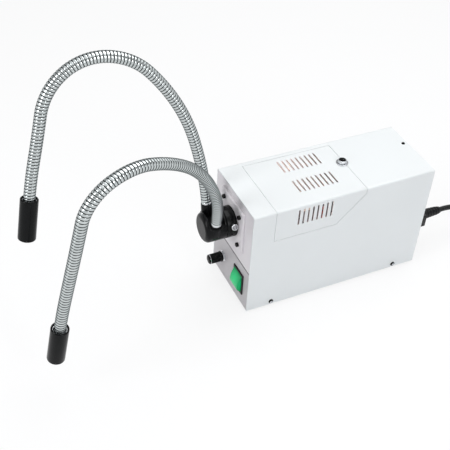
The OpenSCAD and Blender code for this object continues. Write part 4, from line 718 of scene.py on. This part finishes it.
class ILLUMINATOR_OT_stage(bpy.types.Operator):
    """Camera at the photograph's angle, white paper floor, soft sky and three soft lamps"""
    bl_idname = "illuminator.stage"
    bl_label = "Camera, floor and light"

    def execute(self, context):
        scene = context.scene
        light = scene.illuminator_stage
        scene.view_settings.view_transform = "Standard"
        az, el, roll = (math.radians(v) for v in CAMERA_ANGLES)
        back = np.array([math.sin(az) * math.cos(el), -math.cos(az) * math.cos(el), math.sin(el)])
        right = np.array([math.cos(az), math.sin(az), 0.0])
        up = np.cross(back, right)
        right, up = right * math.cos(roll) + up * math.sin(roll), up * math.cos(roll) - right * math.sin(roll)
        spot = (CAMERA_PLACE[0] * right + CAMERA_PLACE[1] * up + CAMERA_PLACE[2] * back + np.array([0, 0, FOOT])) * MM
        data = bpy.data.cameras.new("photo_camera")
        data.sensor_width, data.lens = SENSOR, FOCAL_PX / PHOTO_PX * SENSOR
        data.clip_start, data.clip_end = 0.05, 20.0
        camera = bpy.data.objects.new("photo_camera", data)
        camera.matrix_world = Matrix([[right[i], up[i], back[i], spot[i]] for i in range(3)] + [[0, 0, 0, 1]])
        scene.collection.objects.link(camera)
        scene.camera = camera

        floor = Surface().grid(np.array([[[x, y, -0.05] for x in (-6000, 6000)] for y in (-6000, 6000)], float))
        m = bpy.data.materials.new("white_paper_floor")
        m.use_nodes = True
        m.node_tree.nodes.clear()
        seen = seen_rays(m)
        # Pale paper that shades as it is lit; most of what the eye sees of it is plain white
        paper = add(m, "ShaderNodeBsdfDiffuse", {"Color": linear("#EDEEF0")})
        white = add(m, "ShaderNodeEmission", {"Color": (1, 1, 1, 1), "Strength": 1.03})
        share = add(m, "ShaderNodeMath", {1: 0.78}, {0: (seen, "Value")}, operation="MULTIPLY")
        both = add(m, "ShaderNodeMixShader", links={0: (share, "Value"), 1: (paper, "BSDF"), 2: (white, "Emission")})
        add(m, "ShaderNodeOutputMaterial", links={"Surface": (both, "Shader")})
        MATERIALS["floor"] = m
        floor.make("floor", ["floor"], None)

        world = bpy.data.worlds.new("even_sky")
        world.use_nodes = True
        world.node_tree.nodes.clear()
        where = add(world, "ShaderNodeTexCoord")
        split = add(world, "ShaderNodeSeparateXYZ", links={"Vector": (where, "Generated")})
        # What lights the object: a sky that is bright above and dim towards the horizon
        fade = add(world, "ShaderNodeMapRange", {"From Min": 0.0, "From Max": 0.9, "To Min": 0.3 * light.sky,
                                                 "To Max": 1.0 * light.sky}, {"Value": (split, "Z")})
        # What the eye, metal and glass see instead: white paper up to 17 degrees, then a darker room, which gives
        # polished metal its dark lines, and a white ceiling
        room = add(world, "ShaderNodeFloatCurve", links={"Value": (split, "Z")})
        curve = room.mapping.curves[0]
        for place, level in ((0.3, 0.9), (0.42, 0.35), (0.62, 0.30), (0.8, 1.0)):
            curve.points.new(place, level)
        curve.points[0].location, curve.points[-1].location = (0.0, 0.88), (1.0, 1.0)
        room.mapping.update()
        level = add(world, "ShaderNodeMix",
                    links={"Factor": (seen_rays(world), "Value"), "A": (fade, "Result"), "B": (room, "Value")})
        sky = add(world, "ShaderNodeBackground", {"Color": (0.985, 0.992, 1.0, 1)}, {"Strength": (level, "Result")})
        add(world, "ShaderNodeOutputWorld", links={"Surface": (sky, "Background")})
        scene.world = world

        # Name, place, width and height in metres, and power; each aims at the middle of the housing's lower front
        for name, at, wide, high, power in (("overhead", (-0.2, 0.45, 1.3), 1.2, 1.2, light.overhead),
                                            ("front", (0.2, -1.3, 0.85), 0.62, 1.05, light.key),
                                            ("side", (1.45, 0.2, 0.85), 0.5, 1.0, light.side)):
            lamp = bpy.data.lights.new(name, "AREA")
            lamp.shape, lamp.size, lamp.size_y, lamp.energy = "ELLIPSE", wide, high, power
            holder = bpy.data.objects.new(name, lamp)
            aim = axes(at, np.subtract(at, (0.0, 0.05, 0.08)), (1, 0, 0) if name == "front" else (0, 1, 0))
            holder.matrix_world = Matrix(aim.tolist())
            scene.collection.objects.link(holder)
        return {"FINISHED"}


def cord_line():
    """Lead, coil and tail. The coil's radius falls from the outer one by a pitch a turn to the middle of its
    length and grows again, while its height climbs one layer in the half turn where it reverses."""
    q = np.arange(0, COIL_TURNS + 1e-9, 1 / 64)
    radius = COIL_R - COIL_PITCH * np.minimum(q, COIL_TURNS - q)
    climb = np.clip((q - COIL_TURNS / 2 + 0.25) / 0.5, 0, 1)
    height = COIL_Z + COIL_PITCH * climb ** 2 * (3 - 2 * climb)
    coil = np.stack([COIL_CENTRE[0] + radius * np.cos(TAU * q), COIL_CENTRE[1] + radius * np.sin(TAU * q), height], 1)
    tail = coil[-1] - np.linspace(0, COIL_TAIL, 12)[1:, None] * np.array([1.0, 0, 0])
    return np.concatenate([smooth_path(LEAD, 3.0)[:-1], coil, tail])


class ILLUMINATOR_OT_cord(bpy.types.Operator):
    """Mains cord with its connector, coil, tie and plug"""
    bl_idname = "illuminator.cord"
    bl_label = "Mains cord"

    def execute(self, context):
        line = cord_line()
        cord = Surface().solid(tube(line, CORD_D / 2, 18, (0, 0, 1))).make(
            "mains_cord", ["pvc"], "housing", ("cord_lead", "cord_coil"), "cord_rubber")

        # Connector: body with grip ribs, shoulders and a ringed strain relief
        at = axes((INLET_X, BODY_L, INLET_Z), (0, 1, 0))
        rib = np.linspace(2.1, 27.1, 60)
        grip = 0.45 * (0.5 - 0.5 * np.cos(TAU * (rib - 9) / 2.6)) * ((rib > 9) & (rib < 22))
        connector = Surface()
        connector.solid(loft(np.concatenate([[2.1, 2.4], rib[1:-1], [26.8, 27.1]]),
                             np.concatenate([[12.9, 13.4], 13.5 - grip[1:-1], [13.3, 12.8]]),
                             np.concatenate([[8.9, 9.4], 9.5 + 0 * grip[1:-1], [9.3, 8.8]]), at, 9.0, 64))
        connector.solid(loft([-14, -13.6, 2.6], [11.5, 11.9, 11.9], [7.5, 7.9, 7.9], at, 9.0, 48))
        z = np.linspace(26.8, 57.1, 92)
        taper = np.interp(z, [26.8, 29, 32, 52, 57.1], [8.9, 7.8, 6.9, 5.7, 4.6])
        ring = 0.75 * (np.cos(TAU * (z - 33) / 4.4) < -0.25) * ((z > 33) & (z < 55))
        connector.solid(lathe(np.stack([taper - ring, z], 1), at, 40))
        connector = connector.make("cord_connector_body", ["pvc"], "housing", ("cord_connector",), "cord_rubber")

        # Plug: a waisted grip, its relief and three blades
        end = line[-1]
        at = axes(end, (-1, 0, 0), (0, 1, 0))
        plug = Surface()
        z = np.linspace(0, 28.5, 86)
        taper = np.interp(z, [0, 22, 28.5], [4.5, 6.4, 7.4])
        ring = 0.7 * (np.cos(TAU * z / 4.2) < -0.3) * ((z > 3) & (z < 24))
        plug.solid(lathe(np.stack([taper - ring, z], 1), at, 40))
        low = axes((end[0], end[1], 10.5), (-1, 0, 0), (0, 1, 0))
        plug.solid(loft([27.6, 28.2, 30, 38, 50, 60, 63.2, 64], [8.5, 10.2, 11.6, 13.6, 15.4, 15.9, 15.6, 14.8],
                        [7.5, 8.8, 9.6, 10.2, 10.4, 10.4, 10.1, 9.3], low, 5.0, 64))
        for y, z0, tilt, reach in ((-7, 3, 30, 17), (7, 3, -30, 17), (0, -5.4, 0, 19.5)):
            blade = axes((end[0] - 63.5, end[1] + y, 10.5 + z0), (-1, 0, 0),
                         (0, math.cos(math.radians(tilt)), -math.sin(math.radians(tilt))))
            plug.solid(loft([0, reach - 0.6, reach], [0.8, 0.8, 0.5], [3.2, 3.2, 2.7], blade, 12.0, 32), slot=1)
        plug = plug.make("mains_plug_body", ["pvc", "chrome"], "housing", ("mains_plug",), "cord_rubber")

        # Tie: a flat strap round the coil's turns on the side away from the lead
        a = np.linspace(0, TAU, 40, endpoint=False)
        strap = np.stack([COIL_CENTRE[0] - 38.75 + 11.7 * np.sign(np.cos(a)) * abs(np.cos(a)) ** 0.4,
                          np.full(40, COIL_CENTRE[1]), 7.45 + 7.4 * np.sign(np.sin(a)) * abs(np.sin(a)) ** 0.4], 1)
        hoop = np.stack([strap + (0, dy, 0) for dy in (-3, 3)])
        inner = (hoop - strap.mean(0)) * (0.965, 1, 0.94) + strap.mean(0)
        tie = Surface().grid(np.stack([hoop[0], hoop[1], inner[1], inner[0]]), wrap_rows=True, wrap_columns=True).make(
            "coil_tie", ["nylon"], "housing")
        return {"FINISHED"}


class ILLUMINATOR_OT_housing(bpy.types.Operator):
    """Painted cover, hatch and panels, the tray they stand on, feet and housing screws"""
    bl_idname = "illuminator.housing"
    bl_label = "Housing"

    def execute(self, context):
        for node in ("cover", "lamp_hatch", "rear_panel"):
            dress(node, "white", 0.18)
        dress("lamp_panel", "grey", 0.15)
        dress("control_panel", "grey_low", 0.15)
        dress("socket_plate", "grey", 0.3)
        dress("chassis", "zinc", 0.15)
        dress("feet", "rubber", 0.3)

        # Pan heads: a dome of height 2.1 over a radius of 3, r = 3 sin q and h = 0.6 + 1.5 cos q, with a cross cut
        # into it. Round the cross the head is bright chrome, a painted highlight, and its outer ring is black, painted
        # shade
        screws = Surface()
        q = np.linspace(0, math.pi / 2, 16)
        a = np.linspace(0, TAU, 64, endpoint=False)
        for side in (-1, 1):
            for y in SIDE_SCREW_Y:
                at = axes((side * HALF_W, y, SIDE_SCREW_Z), (side, 0, 0), (0, 1, 0))
                r, h = np.append(3.0 * np.sin(q), 3.0), np.append(0.6 + 1.5 * np.cos(q), 0.0)
                x, z = r[:, None] * np.cos(a + TAU / 8), r[:, None] * np.sin(a + TAU / 8)
                arm = np.minimum(abs(x), abs(z))
                cut = np.clip((0.55 - arm) / 0.2, 0, 1) * (r[:, None] < 1.7)
                head = placed(np.stack([x, z, h[:, None] - 1.0 * cut], -1), at)
                highlight_edge = int(np.searchsorted(r[:-1], 1.6))
                screws.grid(head[:highlight_edge + 1], wrap_columns=True, caps=(0,), slot=2)
                screws.grid(head[highlight_edge:], wrap_columns=True, caps=(-1,), slot=1)
                shank = [np.array((side * x, y, SIDE_SCREW_Z)) for x in (HALF_W - 0.1, 46.2)]
                screws.solid(straight(*shank, 1.4))
        # Button-head screw near the top's rear edge, with a hexagonal socket
        at = axes((-11.6, 238.9, TOP), (0, 0, 1))
        screws.solid(hexagon_socket([(1.4, -4), (1.4, 0), (2.3, 0), (1.8, 1.0)], 1.0, 1.0, 0.4, at), slot=1)
        screws.make("cover_screw_heads", ["nickel", "oxide", "chrome"], "housing", ("cover_screws",), "chrome")
        return {"FINISHED"}


class ILLUMINATOR_OT_hatch_screw(bpy.types.Operator):
    """Knurled thumbscrew of the lamp hatch, with its washer"""
    bl_idname = "illuminator.hatch_screw"
    bl_label = "Hatch thumbscrew"

    def execute(self, context):
        at = axes((-4.8, 145.5, FOOT + 150.3), (0, 0, 1))
        screw = Surface()
        screw.grid(lathe(rounded([(1.6, 0), (7.5, 0), (7.5, 0.8), (1.6, 0.8), (1.6, 0)], (0, 0.3, 0.3, 0, 0)), at, 96),
                   wrap_columns=True)
        head = rounded([(1.5, -6), (1.5, 0.7), (4.75, 0.7), (4.75, 1.4), (5.5, 1.4), (5.5, 3.8), (4.5, 4.45),
                        (4.2, 4.4), (4.2, 3.9), (0.02, 3.9)], (0, 0, 0, 0.1, 0.2, 0.3, 0.2, 0.1, 0, 0), 4)
        screw.solid(lathe(head, at, 216, knurl(36, 1.5, 3.9)))
        screw.grid(slotted_disc(4.25, 4.5, 1.2, 1.2, 0.93, 0.9, at), wrap_columns=True, slot=1)
        screw.make("hatch_thumbscrew_head", ["chrome", "oxide"], "hatch_thumbscrew", ("hatch_screw",),
                   "black_and_chrome")
        return {"FINISHED"}


class ILLUMINATOR_OT_light_port(bpy.types.Operator):
    """Black guide socket on its square plate, the plate's cap screws and the chrome clamp screw"""
    bl_idname = "illuminator.light_port"
    bl_label = "Light port"

    def execute(self, context):
        out = axes((0, 0, PORT_Z), (0, -1, 0))
        profile = rounded([(9.05, 3), (19, 3), (19, 5.5), (18.2, 6.1), (18.2, 7.0), (19, 7.6), (19, 15.2), (18, 16),
                           (9.05, 16), (9.05, 3)], 0.5, 4)
        socket = Surface().grid(lathe(profile, out, 96), wrap_columns=True)
        socket.make("guide_socket_barrel", ["black"], "housing", ("guide_socket",), "black_anodised")

        screws = Surface()
        for x in (-21, 21):
            for z in (-21, 21):
                at = axes((x, -3, PORT_Z + z), (0, -1, 0))
                screws.solid(hexagon_socket([(1.45, -5.5), (1.45, 0), (2.75, 0), (2.75, 2.5), (2.4, 2.95), (1.9, 3.0)],
                                            1.45, 3.0, 1.3, at))
        screws.make("plate_cap_screws", ["oxide"], "housing", ("plate_screws",), "black_steel")

        tilt = math.radians(20)
        at = axes((0, -8.5, PORT_Z), (math.cos(tilt), 0, math.sin(tilt)), (0, 1, 0))
        profile = rounded([(0.02, 9.3), (1.98, 9.3), (1.98, 18.5), (4.0, 18.5), (4.0, 22.5), (3.5, 23.0), (3.0, 23.0),
                           (3.0, 22.3), (0.02, 22.3)], (0, 0, 0, 0.2, 0.3, 0.2, 0.1, 0, 0), 4)
        clamp = Surface().solid(lathe(profile, at, 168, knurl(28, 19.0, 22.2)))
        clamp.grid(slotted_disc(3.05, 22.6, 0.9, 1.2, 0.95, 0.7, at), wrap_columns=True, slot=1)
        clamp.make("clamp_screw_head", ["chrome", "satin"], "clamp", ("clamp_screw",), "chrome")
        return {"FINISHED"}


class ILLUMINATOR_OT_guide(bpy.types.Operator):
    """Ferrule, black forked block and the two neck collars"""
    bl_idname = "illuminator.guide"
    bl_label = "Light guide block"

    def execute(self, context):
        dress("guide_block", "black", 0.5)
        dress("guide_ferrule", "chrome")
        dress("guide_bundle", "fibre")
        collars = Surface()
        for arm, q in ARMS.items():
            top = q["rise"]
            collars.grid(lathe(rounded([(3.65, -9), (7.2, -9), (7.2, top), (6.2, top), (3.65, top), (3.65, -9)],
                                       (0, 0.2, 0.7, 0.2, 0.2, 0), 5), neck_place(arm, 0), 64), wrap_columns=True)
        collars.make("neck_collars", ["black"], "guide", ("arm_collars",), "black_anodised")
        return {"FINISHED"}


class ILLUMINATOR_OT_necks(bpy.types.Operator):
    """Wound goosenecks in lengths that meet at their joints, and the fibre bundles inside them"""
    bl_idname = "illuminator.necks"
    bl_label = "Goosenecks"

    def execute(self, context):
        size = context.scene.illuminator_necks
        pitch, outer, groove = size.pitch / MM, size.diameter / MM / 2, size.groove / MM
        for arm, q in ARMS.items():
            # Two lengths span a joint each and ride on no body; the first and the last ride on one body each
            cuts = (q["rise"] + 0.3, 0.5 * FLEX, 1.5 * FLEX, 2.5 * FLEX, NECK)
            for i in range(4):
                wound, deep, lining = wound_length(arm, cuts[i], cuts[i + 1], pitch, outer, groove)
                rest = None if i in (1, 2) else "%s_arm_%d" % (arm, 1 if i == 0 else 3)
                gone = (("%s_conduit_%d" % (arm, i + 1),) if i < 3 else ())
                piece = Surface().grid(wound, value=deep)
                piece.grid(lining, wrap_columns=True, value=np.ones(lining.shape[:2]))
                piece = piece.make("%s_neck_%d" % (arm, i + 1), ["strip"], rest, gone, "wound_steel", smooth=75,
                                   attribute="groove")
                if rest is None:
                    hinge = FLEX * i
                    ends = neck(arm, [hinge - FLEX_REACH, hinge + FLEX_REACH])[0] * MM
                    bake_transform(piece)
            for k in (1, 2, 3):
                dress("%s_bundle_%d" % (arm, k), "nylon")
            # Bright crimped ring that ends the winding at the block
            low = q["rise"] + 0.35
            profile = rounded([(6.0, low), (6.7, low), (6.75, low + 2.2), (6.45, low + 2.8), (6.0, low + 2.8),
                               (6.0, low)], (0, 0.25, 0.4, 0.2, 0.1, 0))
            Surface().grid(lathe(profile, neck_place(arm, 0), 64), wrap_columns=True).make(
                "%s_end_ring" % arm, ["chrome"], "%s_arm_1" % arm)
        return {"FINISHED"}


class ILLUMINATOR_OT_nozzles(bpy.types.Operator):
    """Black nozzles with a bright ring where the neck enters and the lit fibre face inside the mouth"""
    bl_idname = "illuminator.nozzles"
    bl_label = "Nozzles"

    def execute(self, context):
        r = context.scene.illuminator_necks.nozzle / MM / 2
        for arm in ARMS:
            at = neck_place(arm, NECK)
            profile = rounded([(3.7, 0.1), (6.8, 0.1), (6.8, -2), (r - 1.8, -2), (r - 1.8, -5), (r - 1, -5), (r, -4),
                               (r, 44), (r - 1, 45), (6.2, 45), (3.15, 42.5), (3.15, 2), (3.7, 2), (3.7, 0.1)],
                              (0, 0, 0.2, 0, 0.3, 0.4, 0.6, 0.6, 0.5, 0.5, 0.3, 0, 0, 0), 5)
            nozzle = Surface().grid(lathe(profile, at, 96), wrap_columns=True)
            a = np.linspace(0, TAU, 17)
            ring = np.stack([7.45 + 0.65 * np.cos(a), -2.4 - 0.6 * np.sin(a)], 1)
            nozzle.grid(lathe(ring, at, 64), wrap_columns=True, slot=1)
            nozzle.grid(lathe([(3.1, 43.6), (3.1, 44.0), (2.6, 44.1), (0.02, 44.1), (0.01, 43.6), (3.1, 43.6)], at, 48),
                        wrap_columns=True, slot=2)
            nozzle.make("%s_light_outlet" % arm, ["black", "chrome", "fibre"], "%s_arm_3" % arm,
                        ("%s_nozzle" % arm,), "black_anodised")
        return {"FINISHED"}


class ILLUMINATOR_OT_knob(bpy.types.Operator):
    """Fluted brightness knob with its index line, shaft, nut and the dimmer behind the panel"""
    bl_idname = "illuminator.knob"
    bl_label = "Brightness knob"

    def execute(self, context):
        at = axes((-21, 0, CONTROL_Z), (0, -1, 0), (1, 0, 0))
        # Flutes: the radius dips by the square of the cosine, 12 times round, over the gripping length only
        def flute(a, z):
            return -0.7 * np.cos(6 * a) ** 2 * np.clip((z - 4.9) / 0.6, 0, 1) * np.clip((19.6 - z) / 0.6, 0, 1)

        profile = rounded([(3.0, 3), (7.0, 3), (7.0, 4.4), (6.3, 4.8), (6.3, 19.0), (5.9, 20.1), (4.4, 21.1),
                           (0.02, 21.5)], (0, 0.3, 0.3, 0.3, 0.3, 0.5, 0.8, 0), 6)
        z = np.linspace(4.9, 19.0, 40)
        body = np.concatenate([profile[profile[:, 1] < 4.9], np.stack([np.full(40, 6.3), z], 1),
                               profile[(profile[:, 1] > 19.0) | ((profile[:, 0] < 1) & (profile[:, 1] > 10))]])
        knob = Surface().grid(lathe(body, at, 144, flute), wrap_columns=True, caps=(0,))
        # A bright chrome ring behind the domed face, a painted highlight along the face's rim, and the index line over
        # the face and along the side
        knob.grid(lathe([(6.1, 18.7), (6.45, 18.8), (6.45, 19.3), (6.1, 19.4), (5.9, 19.0), (6.1, 18.7)], at, 96),
                  wrap_columns=True, slot=2)
        knob.grid(bar(0.35, ((-1.2, 21.2), (-1.2, 21.5), (-4.2, 21.3), (-4.2, 21.0)), at), wrap_rows=True, slot=1)
        knob.grid(bar(0.4, ((-6.05, 5.4), (-6.45, 5.4), (-6.45, 18.4), (-6.05, 18.4)), at), wrap_rows=True, slot=1)
        knob.make("brightness_knob_body", ["phenolic", "ink", "chrome"], "knob", ("brightness_knob",), "black_plastic")
        dress("dimmer_shaft", "zinc")
        dress("dimmer_body", "laminate", 0.2)
        dress("dimmer_nut", "chrome", 0.15)
        return {"FINISHED"}


class ILLUMINATOR_OT_switch(bpy.types.Operator):
    """Green lit rocker in its black bezel"""
    bl_idname = "illuminator.switch"
    bl_label = "Power switch"

    def execute(self, context):
        dress("switch_body", "abs", 0.3)
        # The lens is fullest below its pivot: it bulges by 7 cos(90 s) mm, where s runs from 0 at v = -0.4 to 1 at
        # either end. u and v run from -1 to 1 over its width and height, and its rim is rounded off
        half_w, half_h = 10.25, 13.25
        u = np.linspace(-1, 1, 33)
        v = np.linspace(-1, 1, 49)
        x = half_w * u
        z = half_h * v
        s = np.where(v > -0.4, (v + 0.4) / 1.4, (v + 0.4) / 0.6)
        edge = (np.clip((1 - abs(u)) * half_w / 0.8, 0, 1)[:, None]
                * np.clip((1 - abs(v)) * half_h / 0.6, 0, 1)[None, :])
        round_off = 0.5 * (1 - np.sqrt(np.clip(1 - (1 - edge) ** 2, 0, 1)))
        face = -0.8 - 7 * np.cos(math.pi / 2 * s)[None, :] + round_off
        front = np.stack([x[:, None] + 0 * z, face, 0 * x[:, None] + z], -1)
        rim = np.concatenate([front[:, 0], front[-1, 1:], front[-2::-1, -1], front[0, -2:0:-1]])
        skirt = [rim]
        for depth, pull in ((2.6, 0.98), (7.0, 0.24)):
            skirt.append(np.stack([rim[:, 0], np.full(len(rim), depth), rim[:, 2] * pull], 1))
        # Switched on: tipped about its pivot by half its travel of 12 degrees
        tip = math.radians(6)
        spin = np.array([[1, 0, 0, 24], [0, math.cos(tip), -math.sin(tip), 0],
                         [0, math.sin(tip), math.cos(tip), CONTROL_Z], [0, 0, 0, 1]])
        rocker = Surface().grid(placed(front, spin))
        rocker.grid(placed(np.stack(skirt), spin), wrap_columns=True, caps=(-1,))
        rocker.make("lit_rocker", ["lens"], "rocker", ("rocker",), "green_lens")
        return {"FINISHED"}


class ILLUMINATOR_OT_lamp(bpy.types.Operator):
    """Lit reflector lamp, its holder, socket, leads and the heat filter"""
    bl_idname = "illuminator.lamp"
    bl_label = "Lamp compartment"

    def execute(self, context):
        back = axes((0, 50, PORT_Z), (0, 1, 0))  # from the middle of the reflector's rim to the rear
        q = np.linspace(0, 1, 28)
        bowl = 8 + 14.4 * np.sqrt(1 - q)
        outside = np.stack([bowl + 1.6, 2.5 + q * 25.08], 1)
        inside = np.stack([np.maximum(4.7, bowl - 0.6), 0.6 + q * 25.08], 1)[::-1]
        stem = rounded([(9.6, 27.6), (8, 29), (8, 37.4), (7.4, 38), (4.7, 38), (4.7, 26)], 0.4, 4)
        profile = np.concatenate([[(21.8, 0), (24.8, 0), (25, 0.2), (25, 2.3), (24.2, 2.5)], outside, stem, inside])
        # Facets: eighteen shallow flats round the bowl
        def facet(a, z):
            return -0.25 * abs(np.sin(9 * a)) * ((z > 1) & (z < 25))

        lamp = Surface().grid(lathe(profile, back, 144, facet), wrap_rows=True, wrap_columns=True)
        lamp.make("reflector", ["dichroic"], "housing", ("lamp_reflector",), "dichroic_glass")

        capsule = Surface()
        t = np.linspace(0, math.pi / 2, 10)
        bulb = np.concatenate([np.stack([4.2 * np.sin(t), 16.2 - 4.2 * np.cos(t)], 1),
                               [(4.2, 32), (3.6, 36), (0.02, 36)]])
        bulb[0, 0] = 0.02
        capsule.grid(lathe(bulb, back, 40), wrap_columns=True)
        turns = np.linspace(0, 1, 160)
        coil = np.stack([1.1 * np.cos(TAU * 9 * turns), 1.1 * np.sin(TAU * 9 * turns), 18 + 5 * turns], 1)
        capsule.solid(tube(placed(coil, back), 0.28, 8), slot=1)
        for x in (-2.65, 2.65):
            pin = [np.array((x, y, PORT_Z)) for y in (85.0, 96.0)]
            capsule.solid(straight(*pin, 0.75), slot=2)
        capsule.make("lamp_capsule_glass", ["quartz", "filament", "chrome"], "housing", ("lamp_capsule",), "lamp_glass")
        dress("lamp_socket", "ceramic", 0.4)
        dress("lamp_bracket", "zinc", 0.15)
        dress("lamp_deck", "zinc", 0.15)
        dress("heat_filter", "filter")
        dress("lamp_leads", "sleeving")
        return {"FINISHED"}


class ILLUMINATOR_OT_power(bpy.types.Operator):
    """Transformer and control board"""
    bl_idname = "illuminator.power"
    bl_label = "Power supply"

    def execute(self, context):
        dress("transformer_core", "core", 0.2)
        dress("transformer_coil", "tape")
        dress("transformer_brackets", "zinc", 0.15)
        dress("control_board", "board", 0.15)
        return {"FINISHED"}


class ILLUMINATOR_OT_fan(bpy.types.Operator):
    """Cooling fan with curved blades, its frame, wire guard and screws"""
    bl_idname = "illuminator.fan"
    bl_label = "Fan"

    def execute(self, context):
        dress("fan_frame", "abs", 0.3)
        dress("fan_guard", "chrome")
        dress("fan_screws", "chrome", 0.15)
        at = axes((0, BODY_L - 1.5, FOOT + 102), (0, -1, 0))
        rotor = Surface()
        rotor.grid(lathe(rounded([(2.06, 9), (2.06, 21.6), (17, 21.6), (17, 2.9), (16, 2.5), (0.02, 2.5), (0.02, 9)],
                                 (0, 0.3, 0.5, 0.8, 0.8, 0, 0), 5), at, 72), wrap_columns=True)
        # Seven blades: angle and height both grow across a blade with v, and less at its tip, u = 1, than at its root
        u, v = np.meshgrid(np.linspace(0, 1, 14), np.linspace(0, 1, 12), indexing="ij")
        for k in range(7):
            sides = []
            for lift in (0.55, -0.55):
                radius = 16.6 + 20.0 * u
                angle = TAU * k / 7 + (0.78 - 0.26 * u) * (v - 0.5) + 0.12 * u ** 2
                height = 11.5 + (15.0 - 3.0 * u) * (v - 0.5) + lift * np.sqrt(np.clip(1 - (2 * v - 1) ** 2, 0.02, 1))
                sides.append(np.stack([radius * np.cos(angle), radius * np.sin(angle), height], -1))
            rows = np.concatenate([sides[0], sides[1][:, ::-1]], 1)
            rotor.solid(placed(rows, at))
        rotor.make("fan_impeller", ["nylon"], "fan", ("fan_rotor",), "dark_plastic")
        return {"FINISHED"}


class ILLUMINATOR_OT_inlet(bpy.types.Operator):
    """Mains inlet and fuse holder on the rear panel"""
    bl_idname = "illuminator.inlet"
    bl_label = "Inlet and fuse"

    def execute(self, context):
        dress("mains_inlet", "abs", 0.25)
        dress("fuse_holder", "abs", 0.2)
        dress("fuse_carrier", "abs", 0.15)
        at = axes((-26, BODY_L, INLET_Z), (0, 1, 0))
        fuse = Surface()
        fuse.solid(lathe([(2.25, -21.5), (2.25, -12.5)], at, 32))
        for low, high in ((-27, -21.5), (-12.5, -7.0)):
            cap = rounded([(0.02, low), (2.5, low), (2.5, high), (0.02, high)], 0.35, 4)
            fuse.grid(lathe(cap, at, 32), wrap_columns=True, slot=1)
        fuse.make("glass_fuse", ["tube", "chrome"], "fuse_cap", ("fuse",), "fuse_glass")
        return {"FINISHED"}


OPERATORS = (
    ILLUMINATOR_OT_stage, ILLUMINATOR_OT_cord, ILLUMINATOR_OT_housing, ILLUMINATOR_OT_hatch_screw,
    ILLUMINATOR_OT_light_port, ILLUMINATOR_OT_guide, ILLUMINATOR_OT_necks, ILLUMINATOR_OT_nozzles,
    ILLUMINATOR_OT_knob, ILLUMINATOR_OT_switch, ILLUMINATOR_OT_lamp, ILLUMINATOR_OT_power,
    ILLUMINATOR_OT_fan, ILLUMINATOR_OT_inlet,
)


class ILLUMINATOR_PT_parts(bpy.types.Panel):
    """Sizes, colours and the operators that build the illuminator"""
    bl_idname = "ILLUMINATOR_PT_parts"
    bl_label = "Illuminator"
    bl_space_type = "VIEW_3D"
    bl_region_type = "UI"
    bl_category = "Illuminator"

    def draw(self, context):
        for group in ("illuminator_finish", "illuminator_necks", "illuminator_stage"):
            box = self.layout.box()
            values = getattr(context.scene, group)
            for key in values.__annotations__:
                box.prop(values, key)
        for operator in OPERATORS:
            self.layout.operator(operator.bl_idname)


CLASSES = (IlluminatorFinish, IlluminatorNecks, IlluminatorStage) + OPERATORS + (ILLUMINATOR_PT_parts,)


def register():
    for item in CLASSES:
        bpy.utils.register_class(item)
    bpy.types.Scene.illuminator_finish = bpy.props.PointerProperty(type=IlluminatorFinish)
    bpy.types.Scene.illuminator_necks = bpy.props.PointerProperty(type=IlluminatorNecks)
    bpy.types.Scene.illuminator_stage = bpy.props.PointerProperty(type=IlluminatorStage)


def unregister():
    for key in ("illuminator_finish", "illuminator_necks", "illuminator_stage"):
        delattr(bpy.types.Scene, key)
    for item in reversed(CLASSES):
        bpy.utils.unregister_class(item)


def main():
    register()
    for operator in OPERATORS:
        family, name = operator.bl_idname.split(".")
        getattr(getattr(bpy.ops, family), name)()


if __name__ == "__main__":
    main()
